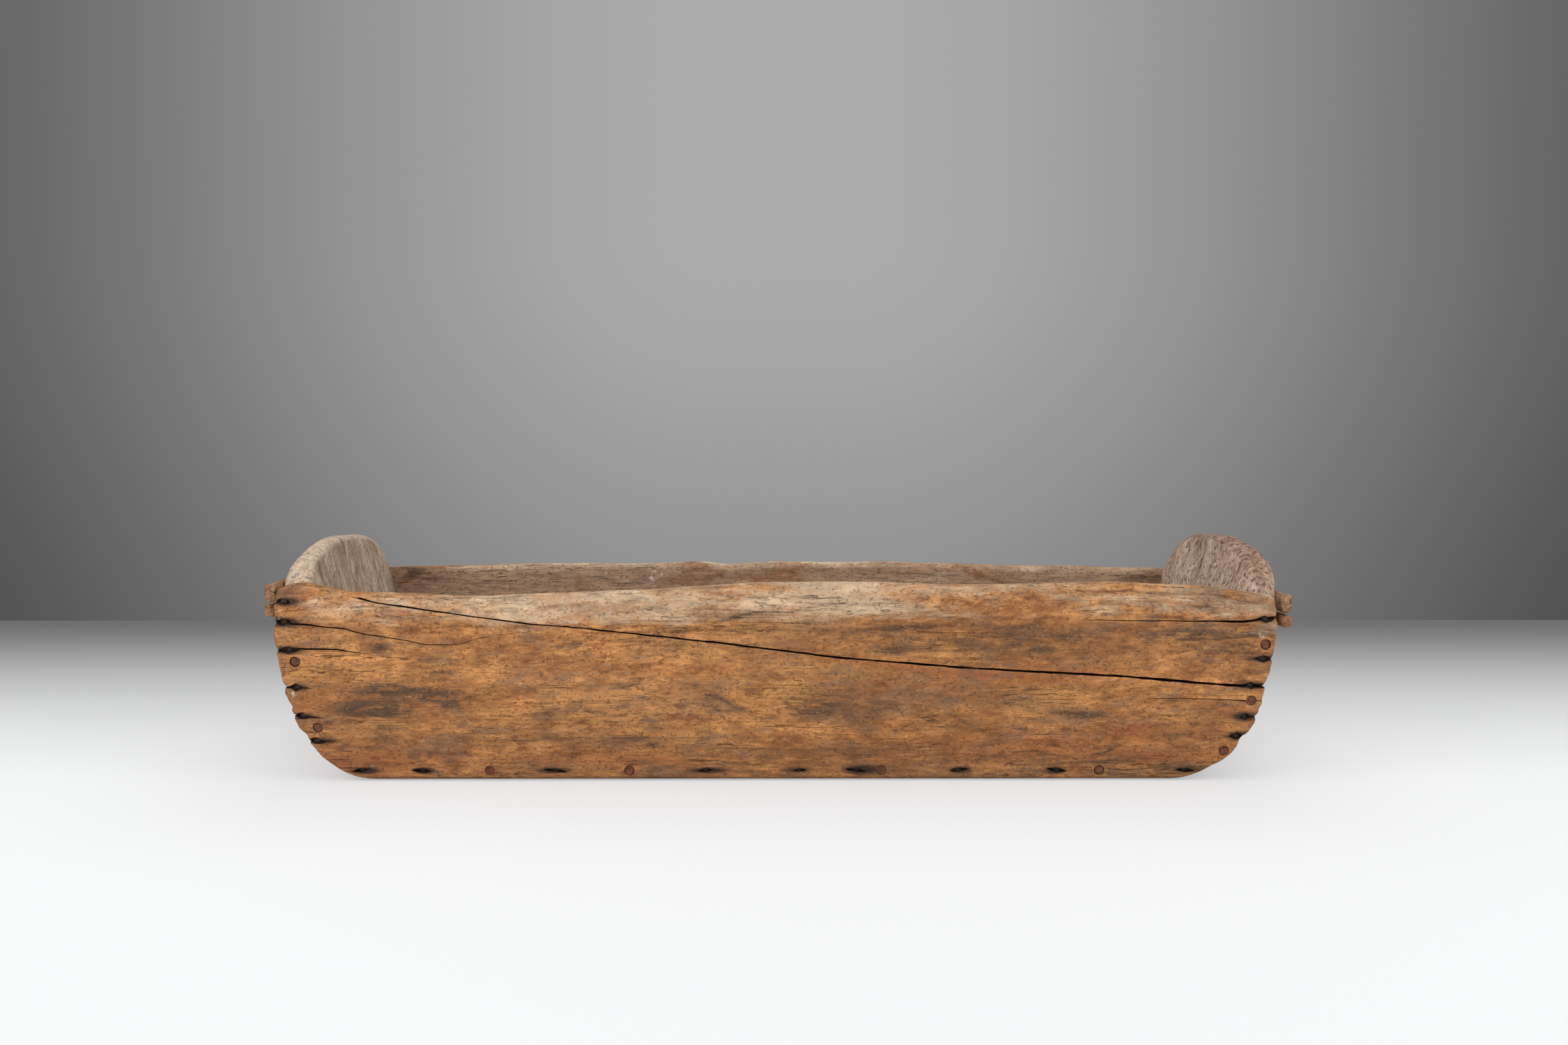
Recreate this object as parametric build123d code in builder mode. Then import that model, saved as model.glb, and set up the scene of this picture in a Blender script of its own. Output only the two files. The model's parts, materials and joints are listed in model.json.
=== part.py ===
from build123d import *
from dataclasses import dataclass
from math import cos, radians, sin, sqrt, tan
import os

# An old wooden trough. Two long hewn side boards stand on the floor and carry everything else: a bottom
# board lies between them, and a round-topped end board stands on the bottom board at each end. Forged
# nails and wooden pegs go through the side boards into the end boards and the bottom board. Across the
# outside of each end board run two slats, which stop it splitting.
#
# X runs along the trough, to the right as seen from the front. Y runs from front to back, and Z up. The
# origin is on the floor, under the middle of the trough. All sizes are in millimetres.

os.makedirs("parts", exist_ok=True)

# The whole trough
OVERALL_LENGTH = 1340.0  # over the slats at both ends
BOTTOM_HALF_WIDTH = 172.0  # from the middle to a side board's inner face, at the floor
FLARE = 5.0  # lean of the side boards away from the middle, in degrees
SEAT_GAP = 0.2  # between a side board and the edge of a board that it is nailed to

# A side board's section: thickness measured outwards from its inner face, at a height
UNDERSIDE_WIDTH = 24.0
FOOT_HEIGHT, FOOT_THICKNESS = 10.0, 34.0  # where the worn bottom edge meets the face
BELLY_HEIGHT, BELLY_THICKNESS = 110.0, 41.0
SHOULDER_DROP, SHOULDER_THICKNESS = 39.0, 38.0  # where the face rounds in, below the rim's lowest point
LIP_DROP, LIP_THICKNESS = 12.0, 26.0  # a point on the rounding, below the rim

# The rim's height along each side board, as pairs of share of the length from the left end, height
FRONT_RIM = (
    (0.0, 252.0),
    (0.02, 266.0),
    (0.07, 251.0),
    (0.21, 246.0),
    (0.38, 255.0),
    (0.48, 264.0),
    (0.60, 264.0),
    (0.67, 260.0),
    (0.84, 264.0),
    (0.94, 258.0),
    (1.0, 244.0),
)
BACK_RIM = (
    (0.0, 248.0),
    (0.05, 247.0),
    (0.19, 251.0),
    (0.35, 253.0),
    (0.41, 256.0),
    (0.44, 251.0),
    (0.49, 255.0),
    (0.62, 255.0),
    (0.77, 250.0),
    (0.96, 245.0),
    (1.0, 240.0),
)

# The rounded ends: upright down to the curve's top, then a long arc, then a tighter one to the floor
LEFT_CURVE_TOP = 225.0
LEFT_CURVE_RADIUS = 436.0
LEFT_CURVE_TURN = 20.0  # in degrees
RIGHT_CURVE_TOP = 230.0
RIGHT_CURVE_RADIUS = 454.0
RIGHT_CURVE_TURN = 18.0

# End boards
END_THICKNESS = 48.0  # at the height where the outer face starts to curve in
END_RAKE = 10.0  # lean of the inner face, in degrees
RIGHT_PROUD = 8.0  # how far the right end board stands out past the side boards
ARCH_LIFT = 15.0  # from the top of the curves to where the arch springs
ARCH_RISE = 63.0
ARCH_OUTER_ROUND = 12.0
ARCH_INNER_ROUND = 5.0

# Bottom board
BOTTOM_THICKNESS = 30.0

# Slats across the ends
SLAT_THICKNESS = 16.0
UPPER_SLAT_WIDTH = 24.0
LOWER_SLAT_WIDTH = 16.0
SLAT_SPACING = 3.0
LEFT_SLAT_LIFT = 37.0  # from the top of the end's curve to the upper slat's top edge
RIGHT_SLAT_LIFT = 17.0
SLAT_LAP = 21.0  # from a side board's inner face out to the slat's end
SLAT_ROUND = 4.0
SLAT_END_ROUND = 2.5

# Forged nails and wooden pegs
HOLE_CLEARANCE = 0.1
NAIL_LENGTH = 75.0
NAIL_SHANK = 5.5
NAIL_TIP = 2.0
NAIL_HEAD_WIDTH = 11.0
NAIL_HEAD_CROWN = 5.0
NAIL_HEAD_HEIGHT = 2.5
PIT_RADIUS = 8.5  # the hollow in the wood round a sunk head
NAIL_SINK = 4.0  # from the wood's face to the top of a sunk head
PEG_RADIUS = 6.0
PEG_LENGTH = 78.0
PEG_PROUD = 0.6
SLAT_NAIL_LENGTH = 42.0
SLAT_NAIL_SHARES = (-0.62, 0.0, 0.62)  # of the distance from the middle to a side board's inner face

# Nails and pegs at each end of a side board: height above the bottom board, distance in from the outline
FRONT_END_NAILS = {
    "left": ((210.0, 14.0), (184.0, 14.0), (147.0, 17.0), (98.0, 17.0), (60.0, 13.0), (26.0, 14.0)),
    "right": ((187.0, 17.0), (135.0, 14.0), (100.0, 22.0), (58.0, 16.0), (32.0, 13.0)),
}
FRONT_END_PEGS = {"left": ((132.0, 23.0), (44.0, 26.0)), "right": ((154.0, 14.0), (80.0, 16.0), (12.0, 14.0))}
BACK_END_NAILS = {
    "left": ((198.0, 17.0), (166.0, 14.0), (122.0, 20.0), (74.0, 15.0), (30.0, 14.0)),
    "right": ((196.0, 14.0), (160.0, 18.0), (114.0, 15.0), (68.0, 16.0), (28.0, 14.0)),
}
BACK_END_PEGS = {"left": ((144.0, 22.0), (52.0, 25.0)), "right": ((137.0, 20.0), (48.0, 24.0))}

# Nails and pegs of the bottom board: shares of the way from the row's first nail to its last
ROW_INSET = 28.0  # of the first and last nail, in from the outline
FRONT_ROW_NAILS = (0.0, 0.073, 0.236, 0.418, 0.531, 0.601, 0.725, 0.845, 1.0)
FRONT_ROW_PEGS = (0.156, 0.325, 0.631, 0.896)
BACK_ROW_NAILS = (0.0, 0.128, 0.265, 0.396, 0.535, 0.666, 0.794, 0.915, 1.0)
BACK_ROW_PEGS = (0.196, 0.466, 0.729)

# The long split in the front board: share of the length from the left end, height
SPLIT_PATH = (
    (0.075, 247.0),
    (0.21, 218.0),
    (0.31, 205.0),
    (0.56, 167.0),
    (0.69, 153.0),
    (0.85, 142.0),
    (0.96, 131.0),
    (1.02, 127.0),
)
SPLIT_START_WIDTH = 0.8
SPLIT_END_WIDTH = 2.6
SPLIT_DEPTH = 22.0
CHECK_DEPTH = 16.0

# Short checks that run in from a side board's end, through a nail: which nail of the column, length along
# the board, width at the end
FRONT_CHECKS = {
    "left": ((0, 40.0, 5.0), (1, 110.0, 4.0), (3, 60.0, 4.0), (4, 36.0, 3.0), (5, 44.0, 5.0)),
    "right": ((0, 70.0, 5.0), (3, 90.0, 2.5), (4, 60.0, 5.0)),
}
BACK_CHECKS = {
    "left": ((1, 90.0, 3.0), (3, 60.0, 3.0)),
    "right": ((1, 60.0, 4.0), (3, 120.0, 2.5), (4, 40.0, 4.0)),
}

# Worked out from the sizes above
SHOULDER_HEIGHT = min(height for _, height in FRONT_RIM + BACK_RIM) - SHOULDER_DROP
ARCH_SPRING_HEIGHT = max(LEFT_CURVE_TOP, RIGHT_CURVE_TOP) + ARCH_LIFT
ARCH_PEAK_HEIGHT = ARCH_SPRING_HEIGHT + ARCH_RISE
ROW_HEIGHT = BOTTOM_THICKNESS / 2
TALL = 2 * ARCH_PEAK_HEIGHT
WIDE = 4 * BOTTOM_HALF_WIDTH


@dataclass(frozen=True)
class End:
    """One end of the trough: how its outline curves from the rim down to the floor."""

    name: str
    side: int  # -1 at the left, 1 at the right
    proud: float  # how far the end board stands out past the side boards
    curve_top: float  # above this height the end is upright
    radius: float  # of the long curve below it
    turn: float  # how far the long curve turns before the toe's tighter curve, in degrees
    slat_lift: float  # from the curve's top to the upper slat's top edge

    @property
    def board_end(self):
        return OVERALL_LENGTH / 2 - SLAT_THICKNESS - self.proud

    @property
    def slat_top(self):
        return self.curve_top + self.slat_lift

    @property
    def join_height(self):
        return self.curve_top - self.radius * sin(radians(self.turn))

    @property
    def toe_radius(self):
        return self.join_height / (1 - sin(radians(self.turn)))

    @property
    def toe_centre(self):
        turn = radians(self.turn)
        return self.radius * (1 - cos(turn)) + self.toe_radius * cos(turn)

    def setback(self, height):
        """How far in from the board's end the outline is at a height."""
        if height >= self.curve_top:
            return 0.0
        if height >= self.join_height:
            return self.radius - sqrt(self.radius**2 - (self.curve_top - height) ** 2)
        return self.toe_centre - sqrt(self.toe_radius**2 - (self.toe_radius - height) ** 2)

    def at(self, setback):
        """The X of a point that lies a setback in from the board's end."""
        return self.side * (self.board_end - setback)

    def outline(self, height, shift=0.0):
        return (self.at(self.setback(height) - shift), height)

    def curve(self, low, shift=0.0):
        """The two arcs of the outline, from a low height up to where the end is upright."""
        join, top = self.join_height, self.curve_top
        ThreePointArc(*[self.outline(h, shift) for h in (low, (low + join) / 2, join)])
        ThreePointArc(*[self.outline(h, shift) for h in (join, (join + top) / 2, top)])

    def inner_face(self, height):
        """The X of the end board's inner face at a height."""
        return self.at(END_THICKNESS - self.proud + (self.curve_top - height) * tan(radians(END_RAKE)))


LEFT = End("left", -1, 0.0, LEFT_CURVE_TOP, LEFT_CURVE_RADIUS, LEFT_CURVE_TURN, LEFT_SLAT_LIFT)
RIGHT = End("right", 1, RIGHT_PROUD, RIGHT_CURVE_TOP, RIGHT_CURVE_RADIUS, RIGHT_CURVE_TURN, RIGHT_SLAT_LIFT)
ENDS = (LEFT, RIGHT)
BOARD_LENGTH = LEFT.board_end + RIGHT.board_end


def inner_y(height):
    """Distance from the middle to a side board's inner face."""
    return BOTTOM_HALF_WIDTH + height * tan(radians(FLARE))


def along(share):
    """The X of a point that lies a share of the board's length from its left end."""
    return -LEFT.board_end + share * BOARD_LENGTH


def face_points(rim):
    """Points of the outer face, as (distance from the middle, height): foot, belly, shoulder, lip and rim."""
    heights = (FOOT_HEIGHT, BELLY_HEIGHT, SHOULDER_HEIGHT, rim - LIP_DROP, rim)
    thicknesses = (FOOT_THICKNESS, BELLY_THICKNESS, SHOULDER_THICKNESS, LIP_THICKNESS, 0.0)
    return [(inner_y(h) + t, h) for h, t in zip(heights, thicknesses)]


def circle_y(points, height):
    """The greater Y, at a height, of the circle through three points."""
    (ay, az), (by, bz), (cy, cz) = points
    d = 2 * (ay * (bz - cz) + by * (cz - az) + cy * (az - bz))
    a, b, c = ay**2 + az**2, by**2 + bz**2, cy**2 + cz**2
    centre_y = (a * (bz - cz) + b * (cz - az) + c * (az - bz)) / d
    centre_z = (a * (cy - by) + b * (ay - cy) + c * (by - ay)) / d
    return centre_y + sqrt((ay - centre_y) ** 2 + (az - centre_z) ** 2 - (height - centre_z) ** 2)


def rim_at(rims, x):
    """The rim's height at an X, between the two heights listed beside it."""
    share = (x + LEFT.board_end) / BOARD_LENGTH
    for (s0, h0), (s1, h1) in zip(rims, rims[1:]):
        if s0 <= share <= s1:
            return h0 + (h1 - h0) * (share - s0) / (s1 - s0)
    return rims[-1][1]


def face_y(rims, x, height):
    """Distance from the middle to a side board's outer face at a point."""
    foot, belly, shoulder, lip, rim = face_points(rim_at(rims, x))
    if height <= SHOULDER_HEIGHT:
        return circle_y((foot, belly, shoulder), height)
    return circle_y((shoulder, lip, rim), height)


def forged_nail(length, clearance=0.0):
    """A nail that points down from the origin, with its shank's top at the origin and its head above."""
    shank, tip, head = (w + 2 * clearance for w in (NAIL_SHANK, NAIL_TIP, NAIL_HEAD_WIDTH))
    with BuildPart() as nail:
        with BuildSketch(Plane.XY):
            Rectangle(shank, shank)
        with BuildSketch(Plane.XY.offset(-length)):
            Rectangle(tip, tip)
        loft()
        with BuildSketch(Plane.XY):
            Rectangle(head, head)
        with BuildSketch(Plane.XY.offset(NAIL_HEAD_HEIGHT)):
            Rectangle(NAIL_HEAD_CROWN, NAIL_HEAD_CROWN)
        loft()
    return nail.part


def nail_hole(length):
    """What a nail takes out of the wood: its own shape with a clearance, and the pit above its head."""
    with BuildPart() as hole:
        add(forged_nail(length, HOLE_CLEARANCE))
        with Locations((0, 0, -HOLE_CLEARANCE)):
            Cylinder(PIT_RADIUS, TALL / 4, align=(Align.CENTER, Align.CENTER, Align.MIN))
    return hole.part


def peg(clearance=0.0):
    """A peg that points down from the origin."""
    with BuildPart() as pin:
        Cylinder(PEG_RADIUS + clearance, PEG_LENGTH, align=(Align.CENTER, Align.CENTER, Align.MAX))
        if not clearance:
            chamfer(pin.edges().filter_by(GeomType.CIRCLE), PEG_PROUD)
    return pin.part


def driven(side, x, y, z):
    """A place on a side board's face, looking straight out of the trough; side is -1 at the front."""
    return Location(Plane(origin=(x, side * y, z), x_dir=(1, 0, 0), z_dir=(0, side, 0)))


def nail_places(side, rims, spots):
    """Where the nails' shanks start, below the sunk heads."""
    sink = NAIL_SINK + NAIL_HEAD_HEIGHT
    return [driven(side, x, face_y(rims, x, z) - sink, z) for x, z in spots]


def peg_places(side, rims, spots):
    return [driven(side, x, face_y(rims, x, z) + PEG_PROUD, z) for x, z in spots]


def end_spots(end, column):
    """Places in a column that follows the board's rounded end."""
    spots = [(BOTTOM_THICKNESS + lift, inset) for lift, inset in column]
    return [(end.at(end.setback(z) + inset), z) for z, inset in spots]


def row_spots(shares):
    """Places in the row that runs along the bottom board."""
    first, last = [end.at(end.setback(ROW_HEIGHT) + ROW_INSET) for end in ENDS]
    return [(first + share * (last - first), ROW_HEIGHT) for share in shares]


def placed(places, shape):
    """Copies of a shape at several places, as one part."""
    with BuildPart() as group:
        with Locations(*places):
            add(shape)
    return group.part


def save(part, name):
    part.label = name
    export_step(part, f"parts/{name}.step")


# Every nail and peg of the side boards, by the name of its node
nails, pegs = {}, {}
for board, side, rims, end_nails, end_pegs, row_nails, row_pegs in (
    ("front", -1, FRONT_RIM, FRONT_END_NAILS, FRONT_END_PEGS, FRONT_ROW_NAILS, FRONT_ROW_PEGS),
    ("back", 1, BACK_RIM, BACK_END_NAILS, BACK_END_PEGS, BACK_ROW_NAILS, BACK_ROW_PEGS),
):
    for end in ENDS:
        nails[f"{board}_{end.name}_nails"] = nail_places(side, rims, end_spots(end, end_nails[end.name]))
        pegs[f"{board}_{end.name}_pegs"] = peg_places(side, rims, end_spots(end, end_pegs[end.name]))
    nails[f"{board}_bottom_nails"] = nail_places(side, rims, row_spots(row_nails))
    pegs[f"{board}_bottom_pegs"] = peg_places(side, rims, row_spots(row_pegs))

hole, peg_hole = nail_hole(NAIL_LENGTH), peg(HOLE_CLEARANCE)
holes = {name: placed(places, hole) for name, places in nails.items()}
holes |= {name: placed(places, peg_hole) for name, places in pegs.items()}

for name, places in nails.items():
    save(placed(places, forged_nail(NAIL_LENGTH)), name)
for name, places in pegs.items():
    save(placed(places, peg()), name)


# Slats across the ends, and their nails


def slat_bands(end):
    """The upper and the lower slat's name, width and middle height."""
    upper = end.slat_top - UPPER_SLAT_WIDTH / 2
    lower = end.slat_top - UPPER_SLAT_WIDTH - SLAT_SPACING - LOWER_SLAT_WIDTH / 2
    return (("upper", UPPER_SLAT_WIDTH, upper), ("lower", LOWER_SLAT_WIDTH, lower))


def slat_nail_places(end):
    """Where the slat nails' shanks start, with their heads on the slats' outer faces."""
    x = end.side * (OVERALL_LENGTH / 2 - NAIL_HEAD_HEIGHT)
    return [
        Location(Plane(origin=(x, y, middle), x_dir=(0, 1, 0), z_dir=(end.side, 0, 0)))
        for _, _, middle in slat_bands(end)
        for y in [share * inner_y(middle) for share in SLAT_NAIL_SHARES]
    ]


for end in ENDS:
    name = f"{end.name}_slat_nails"
    nails[name] = slat_nail_places(end)
    save(placed(nails[name], forged_nail(SLAT_NAIL_LENGTH)), name)
    holes[name] = placed(nails[name], forged_nail(SLAT_NAIL_LENGTH, HOLE_CLEARANCE))
    for which, width, middle in slat_bands(end):
        with BuildPart() as slat:
            with Locations((end.side * (OVERALL_LENGTH - SLAT_THICKNESS) / 2, 0, middle)):
                Box(SLAT_THICKNESS, 2 * (inner_y(end.slat_top) + SLAT_LAP), width)
            outer_face = slat.faces().sort_by(Axis.X)[-1 if end.side > 0 else 0]
            fillet(outer_face.edges().filter_by(Axis.Y), SLAT_ROUND)
            fillet(slat.faces().filter_by(Axis.Y).edges(), SLAT_END_ROUND)
            add(holes[name], mode=Mode.SUBTRACT)
        save(slat.part, f"{end.name}_{which}_slat")


# Side boards


def split_band():
    """The outline of the long split, seen from the front: a thin band that widens to the right."""
    last = len(SPLIT_PATH) - 1
    upper, lower = [], []
    for i, (share, height) in enumerate(SPLIT_PATH):
        half = (SPLIT_START_WIDTH + (SPLIT_END_WIDTH - SPLIT_START_WIDTH) * i / last) / 2
        upper.append((along(share), height + half))
        lower.append((along(share), height - half))
    return upper + lower[::-1]


def check_band(end, column, nail, length, width):
    """The outline of a check: a thin triangle through a nail, open at the board's end."""
    height = BOTTOM_THICKNESS + column[nail][0]
    mouth = end.at(end.setback(height) - width)
    tip = end.at(end.setback(height) + length)
    return [(mouth, height + width / 2), (mouth, height - width / 2), (tip, height)]


def band_cutter(side, outline, depth):
    """What an outline, seen from the front, takes out of a side board's outer face."""
    face = max(y for y, _ in face_points(SHOULDER_HEIGHT + 2 * LIP_DROP))
    with BuildPart() as cutter:
        with BuildSketch(Plane.XZ.offset(-side * (face - depth))):
            with BuildLine():
                Polyline(*outline, close=True)
            make_face()
        extrude(amount=-side * 2 * depth)
    return cutter.part


def side_board(side, rims, columns, checks, hole_names, split=False):
    """A side board: a plain length with a lip lofted along it, cut to the ends' outline, bored and split."""
    foot, belly, shoulder = [(side * y, z) for y, z in face_points(TALL)[:3]]
    inner_foot, inner_shoulder = [(side * inner_y(z), z) for z in (0, SHOULDER_HEIGHT)]
    outer_foot = (side * (inner_y(0) + UNDERSIDE_WIDTH), 0)
    with BuildPart() as board:
        with BuildSketch(Plane.YZ.offset(along(0))):
            with BuildLine():
                Polyline(shoulder, inner_shoulder, inner_foot, outer_foot, foot)
                ThreePointArc(foot, belly, shoulder)
            make_face()
        extrude(amount=BOARD_LENGTH)
        for share, rim in rims:
            lip, crest = [(side * y, z) for y, z in face_points(rim)[3:]]
            with BuildSketch(Plane.YZ.offset(along(share))):
                with BuildLine():
                    ThreePointArc(shoulder, lip, crest)
                    Polyline(crest, inner_shoulder, shoulder)
                make_face()
        loft(ruled=True)
        with BuildSketch(Plane.XZ):
            with BuildLine():
                for end in ENDS:
                    end.curve(0)
                    Line(end.outline(end.curve_top), end.outline(TALL))
                Line(LEFT.outline(0), RIGHT.outline(0))
                Line(LEFT.outline(TALL), RIGHT.outline(TALL))
            make_face()
        extrude(amount=WIDE, both=True, mode=Mode.INTERSECT)
        for name in hole_names:
            add(holes[name], mode=Mode.SUBTRACT)
        for end in ENDS:
            for nail, length, width in checks[end.name]:
                band = check_band(end, columns[end.name], nail, length, width)
                add(band_cutter(side, band, CHECK_DEPTH), mode=Mode.SUBTRACT)
        if split:
            add(band_cutter(side, split_band(), SPLIT_DEPTH), mode=Mode.SUBTRACT)
    return board.part


front_holes = [name for name in holes if name.startswith("front")]
back_holes = [name for name in holes if name.startswith("back")]
front_board = side_board(-1, FRONT_RIM, FRONT_END_NAILS, FRONT_CHECKS, front_holes, split=True)
save(front_board, "front_board")
save(side_board(1, BACK_RIM, BACK_END_NAILS, BACK_CHECKS, back_holes), "back_board")


# Bottom board
with BuildPart() as bottom_board:
    with BuildSketch(Plane.XZ):
        with BuildLine():
            for end in ENDS:
                ThreePointArc(*[end.outline(h) for h in (0, ROW_HEIGHT, BOTTOM_THICKNESS)])
            Line(LEFT.outline(0), RIGHT.outline(0))
            Line(LEFT.outline(BOTTOM_THICKNESS), RIGHT.outline(BOTTOM_THICKNESS))
        make_face()
    extrude(amount=WIDE, both=True)
    with BuildSketch(Plane.YZ):
        with BuildLine():
            low_y, high_y = inner_y(0) - SEAT_GAP, inner_y(BOTTOM_THICKNESS) - SEAT_GAP
            corners = ((-low_y, 0), (low_y, 0), (high_y, BOTTOM_THICKNESS), (-high_y, BOTTOM_THICKNESS))
            Polyline(*corners, close=True)
        make_face()
    extrude(amount=OVERALL_LENGTH, both=True, mode=Mode.INTERSECT)
    for name in holes:
        if "bottom" in name:
            add(holes[name], mode=Mode.SUBTRACT)
save(bottom_board.part, "bottom_board")


# End boards


def arch_edge(board, end, outer):
    """The arch's edge on an end board's outer or inner face."""
    curved = board.edges().filter_by(GeomType.LINE, reverse=True)
    arch = curved.filter_by_position(Axis.Z, end.curve_top, TALL).sort_by(Axis.X)
    return arch[-1 if outer == (end.side > 0) else 0]


for end in ENDS:
    with BuildPart() as end_board:
        with BuildSketch(Plane.XZ):
            with BuildLine():
                end.curve(BOTTOM_THICKNESS, end.proud)
                Polyline(
                    end.outline(end.curve_top, end.proud),
                    end.outline(ARCH_PEAK_HEIGHT, end.proud),
                    (end.inner_face(ARCH_PEAK_HEIGHT), ARCH_PEAK_HEIGHT),
                    (end.inner_face(BOTTOM_THICKNESS), BOTTOM_THICKNESS),
                    end.outline(BOTTOM_THICKNESS, end.proud),
                )
            make_face()
        extrude(amount=WIDE, both=True)
        with BuildSketch(Plane.YZ):
            with BuildLine():
                spring_y = inner_y(ARCH_SPRING_HEIGHT) - SEAT_GAP
                foot_y = inner_y(BOTTOM_THICKNESS) - SEAT_GAP
                Polyline(
                    (spring_y, ARCH_SPRING_HEIGHT),
                    (foot_y, BOTTOM_THICKNESS),
                    (-foot_y, BOTTOM_THICKNESS),
                    (-spring_y, ARCH_SPRING_HEIGHT),
                )
                EllipticalCenterArc(
                    (0, ARCH_SPRING_HEIGHT),
                    spring_y,
                    ARCH_PEAK_HEIGHT - ARCH_SPRING_HEIGHT,
                    start_angle=0,
                    arc_size=180,
                )
            make_face()
        extrude(amount=OVERALL_LENGTH, both=True, mode=Mode.INTERSECT)
        fillet(arch_edge(end_board, end, outer=True), ARCH_OUTER_ROUND)
        fillet(arch_edge(end_board, end, outer=False), ARCH_INNER_ROUND)
        for name in holes:
            if end.name in name:
                add(holes[name], mode=Mode.SUBTRACT)
    save(end_board.part, f"{end.name}_end_board")
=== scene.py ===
"""An old wooden trough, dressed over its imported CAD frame.

Every board is a fine box that is shaped by the same sizes as its solid, hewn and worn by noise, and then
cut by its nail pits, peg holes, checks and splits. Shapes are worked out in millimetres, with X along the
trough, Y from front to back and Z up, and become metres when a mesh is written.
"""

import itertools
import json
import logging
import math
from collections.abc import Callable
from dataclasses import dataclass, field
from enum import Enum

import bpy
import numpy as np
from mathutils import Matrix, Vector

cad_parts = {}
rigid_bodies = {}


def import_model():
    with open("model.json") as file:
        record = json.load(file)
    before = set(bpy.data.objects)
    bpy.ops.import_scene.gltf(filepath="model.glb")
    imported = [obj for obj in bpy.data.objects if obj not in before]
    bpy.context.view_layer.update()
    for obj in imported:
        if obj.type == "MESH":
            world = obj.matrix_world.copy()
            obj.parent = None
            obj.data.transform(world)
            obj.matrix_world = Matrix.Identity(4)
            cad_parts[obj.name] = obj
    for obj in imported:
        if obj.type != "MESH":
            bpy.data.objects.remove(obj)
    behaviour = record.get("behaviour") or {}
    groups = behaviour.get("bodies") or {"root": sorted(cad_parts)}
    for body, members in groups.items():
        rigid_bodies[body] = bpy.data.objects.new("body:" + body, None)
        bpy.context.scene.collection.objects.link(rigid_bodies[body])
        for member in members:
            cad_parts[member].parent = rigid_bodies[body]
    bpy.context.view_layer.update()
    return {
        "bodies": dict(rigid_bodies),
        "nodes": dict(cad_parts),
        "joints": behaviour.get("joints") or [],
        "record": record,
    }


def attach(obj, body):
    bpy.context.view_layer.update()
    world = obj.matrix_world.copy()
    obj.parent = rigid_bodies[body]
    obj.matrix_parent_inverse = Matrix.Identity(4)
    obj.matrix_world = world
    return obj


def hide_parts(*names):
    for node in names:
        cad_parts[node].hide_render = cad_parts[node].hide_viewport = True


LOG = logging.getLogger("trough")
MM = 0.001
BODY = "root"
Point = tuple[float, float]
Triple = tuple[float, float, float]
Colour = Triple
Socket = bpy.types.NodeSocket
Object = bpy.types.Object
Marks = dict["Mark", np.ndarray]
Cuts = tuple[tuple[int, ...], ...]


class Grain(Enum):
    """The way the fibres run in a piece, as the index of its axis."""

    ALONG = 0
    ACROSS = 1
    UPRIGHT = 2


class Side(Enum):
    """A long side of the trough, as the sign of its Y."""

    FRONT = -1
    BACK = 1


class Mark(Enum):
    """What age has left on the wood, and one painted shade, as the name of the number that a mesh keeps for
    it.
    """

    PALE = "pale"
    DULL = "dull"
    STAIN = "stain"
    RED = "red"
    GOLD = "gold"
    IRON = "iron"
    PAINT = "paint"
    # Painted shade along the foot of the side boards' outer faces, where they stand on the floor
    CUT = "cut"


def linear(red: int, green: int, blue: int) -> Colour:
    """A colour of 0 to 255 steps, as a shader takes it.

    Args:
        red: The red step.
        green: The green step.
        blue: The blue step.

    Returns:
        The three linear shares.
    """
    shares = [step / 255 for step in (red, green, blue)]
    return tuple(s / 12.92 if s <= 0.04045 else ((s + 0.055) / 1.055) ** 2.4 for s in shares)


def noise(points: np.ndarray, cell: Triple, seed: int, octaves: int = 1) -> np.ndarray:
    """Smooth noise at points.

    Args:
        points: Places in millimetres, one row each.
        cell: How far the noise keeps its value along X, Y and Z, in millimetres.
        seed: Which pattern.
        octaves: How many finer layers are added, each at half the size and strength.

    Returns:
        One value for each point, from about -1 to 1.
    """
    total, weight = np.zeros(len(points)), 0.0
    for octave in range(octaves):
        share = 0.5**octave
        place = points / (np.array(cell) * share) + 31.7 * (seed + octave)
        base = np.floor(place).astype(np.int64)
        blend = place - base
        blend = blend * blend * (3 - 2 * blend)
        for corner in itertools.product((0, 1), repeat=3):
            x, y, z = (base + corner).T
            mixed = (x * 374761393 + y * 668265263 + z * 1442695041 + seed * 97531) & 0xFFFFFFFF
            mixed = ((mixed ^ (mixed >> 13)) * 1274126177) & 0xFFFFFFFF
            value = ((mixed ^ (mixed >> 16)) & 0xFFFF) / 32767.5 - 1
            total += share * value * np.prod(np.where(corner, blend, 1 - blend), axis=1)
        weight += share
    return total / weight


@dataclass(frozen=True)
class Layer:
    """One layer of a surface's relief: how high its bumps are and how far they reach, in millimetres."""

    height: float
    cell: Triple
    shift: int = 0
    octaves: int = 1


def relief(points: np.ndarray, layers: tuple[Layer, ...], seed: int) -> np.ndarray:
    """The sum of several layers of relief at points.

    Args:
        points: Places in millimetres, one row each.
        layers: The layers.
        seed: Which pattern, to which each layer adds its shift.

    Returns:
        The height at each point.
    """
    total = np.zeros(len(points))
    for layer in layers:
        total += layer.height * noise(points, layer.cell, seed + layer.shift, layer.octaves)
    return total


def line_noise(along: np.ndarray, cell: float, seed: int, octaves: int = 1) -> np.ndarray:
    """Smooth noise along a line, from about -1 to 1."""
    zero = np.zeros_like(along)
    return noise(np.stack([along, zero, zero], axis=1), (cell, 1, 1), seed, octaves)


def ramp(low: float, high: float, value: np.ndarray) -> np.ndarray:
    """A smooth step from 0 at low to 1 at high, where low may be the greater."""
    share = np.clip((value - low) / (high - low), 0, 1)
    return share * share * (3 - 2 * share)


def hump(value: np.ndarray, middle: float, reach: float) -> np.ndarray:
    """A smooth bump of height 1 round a middle."""
    return np.exp(-(((value - middle) / reach) ** 2))


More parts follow.
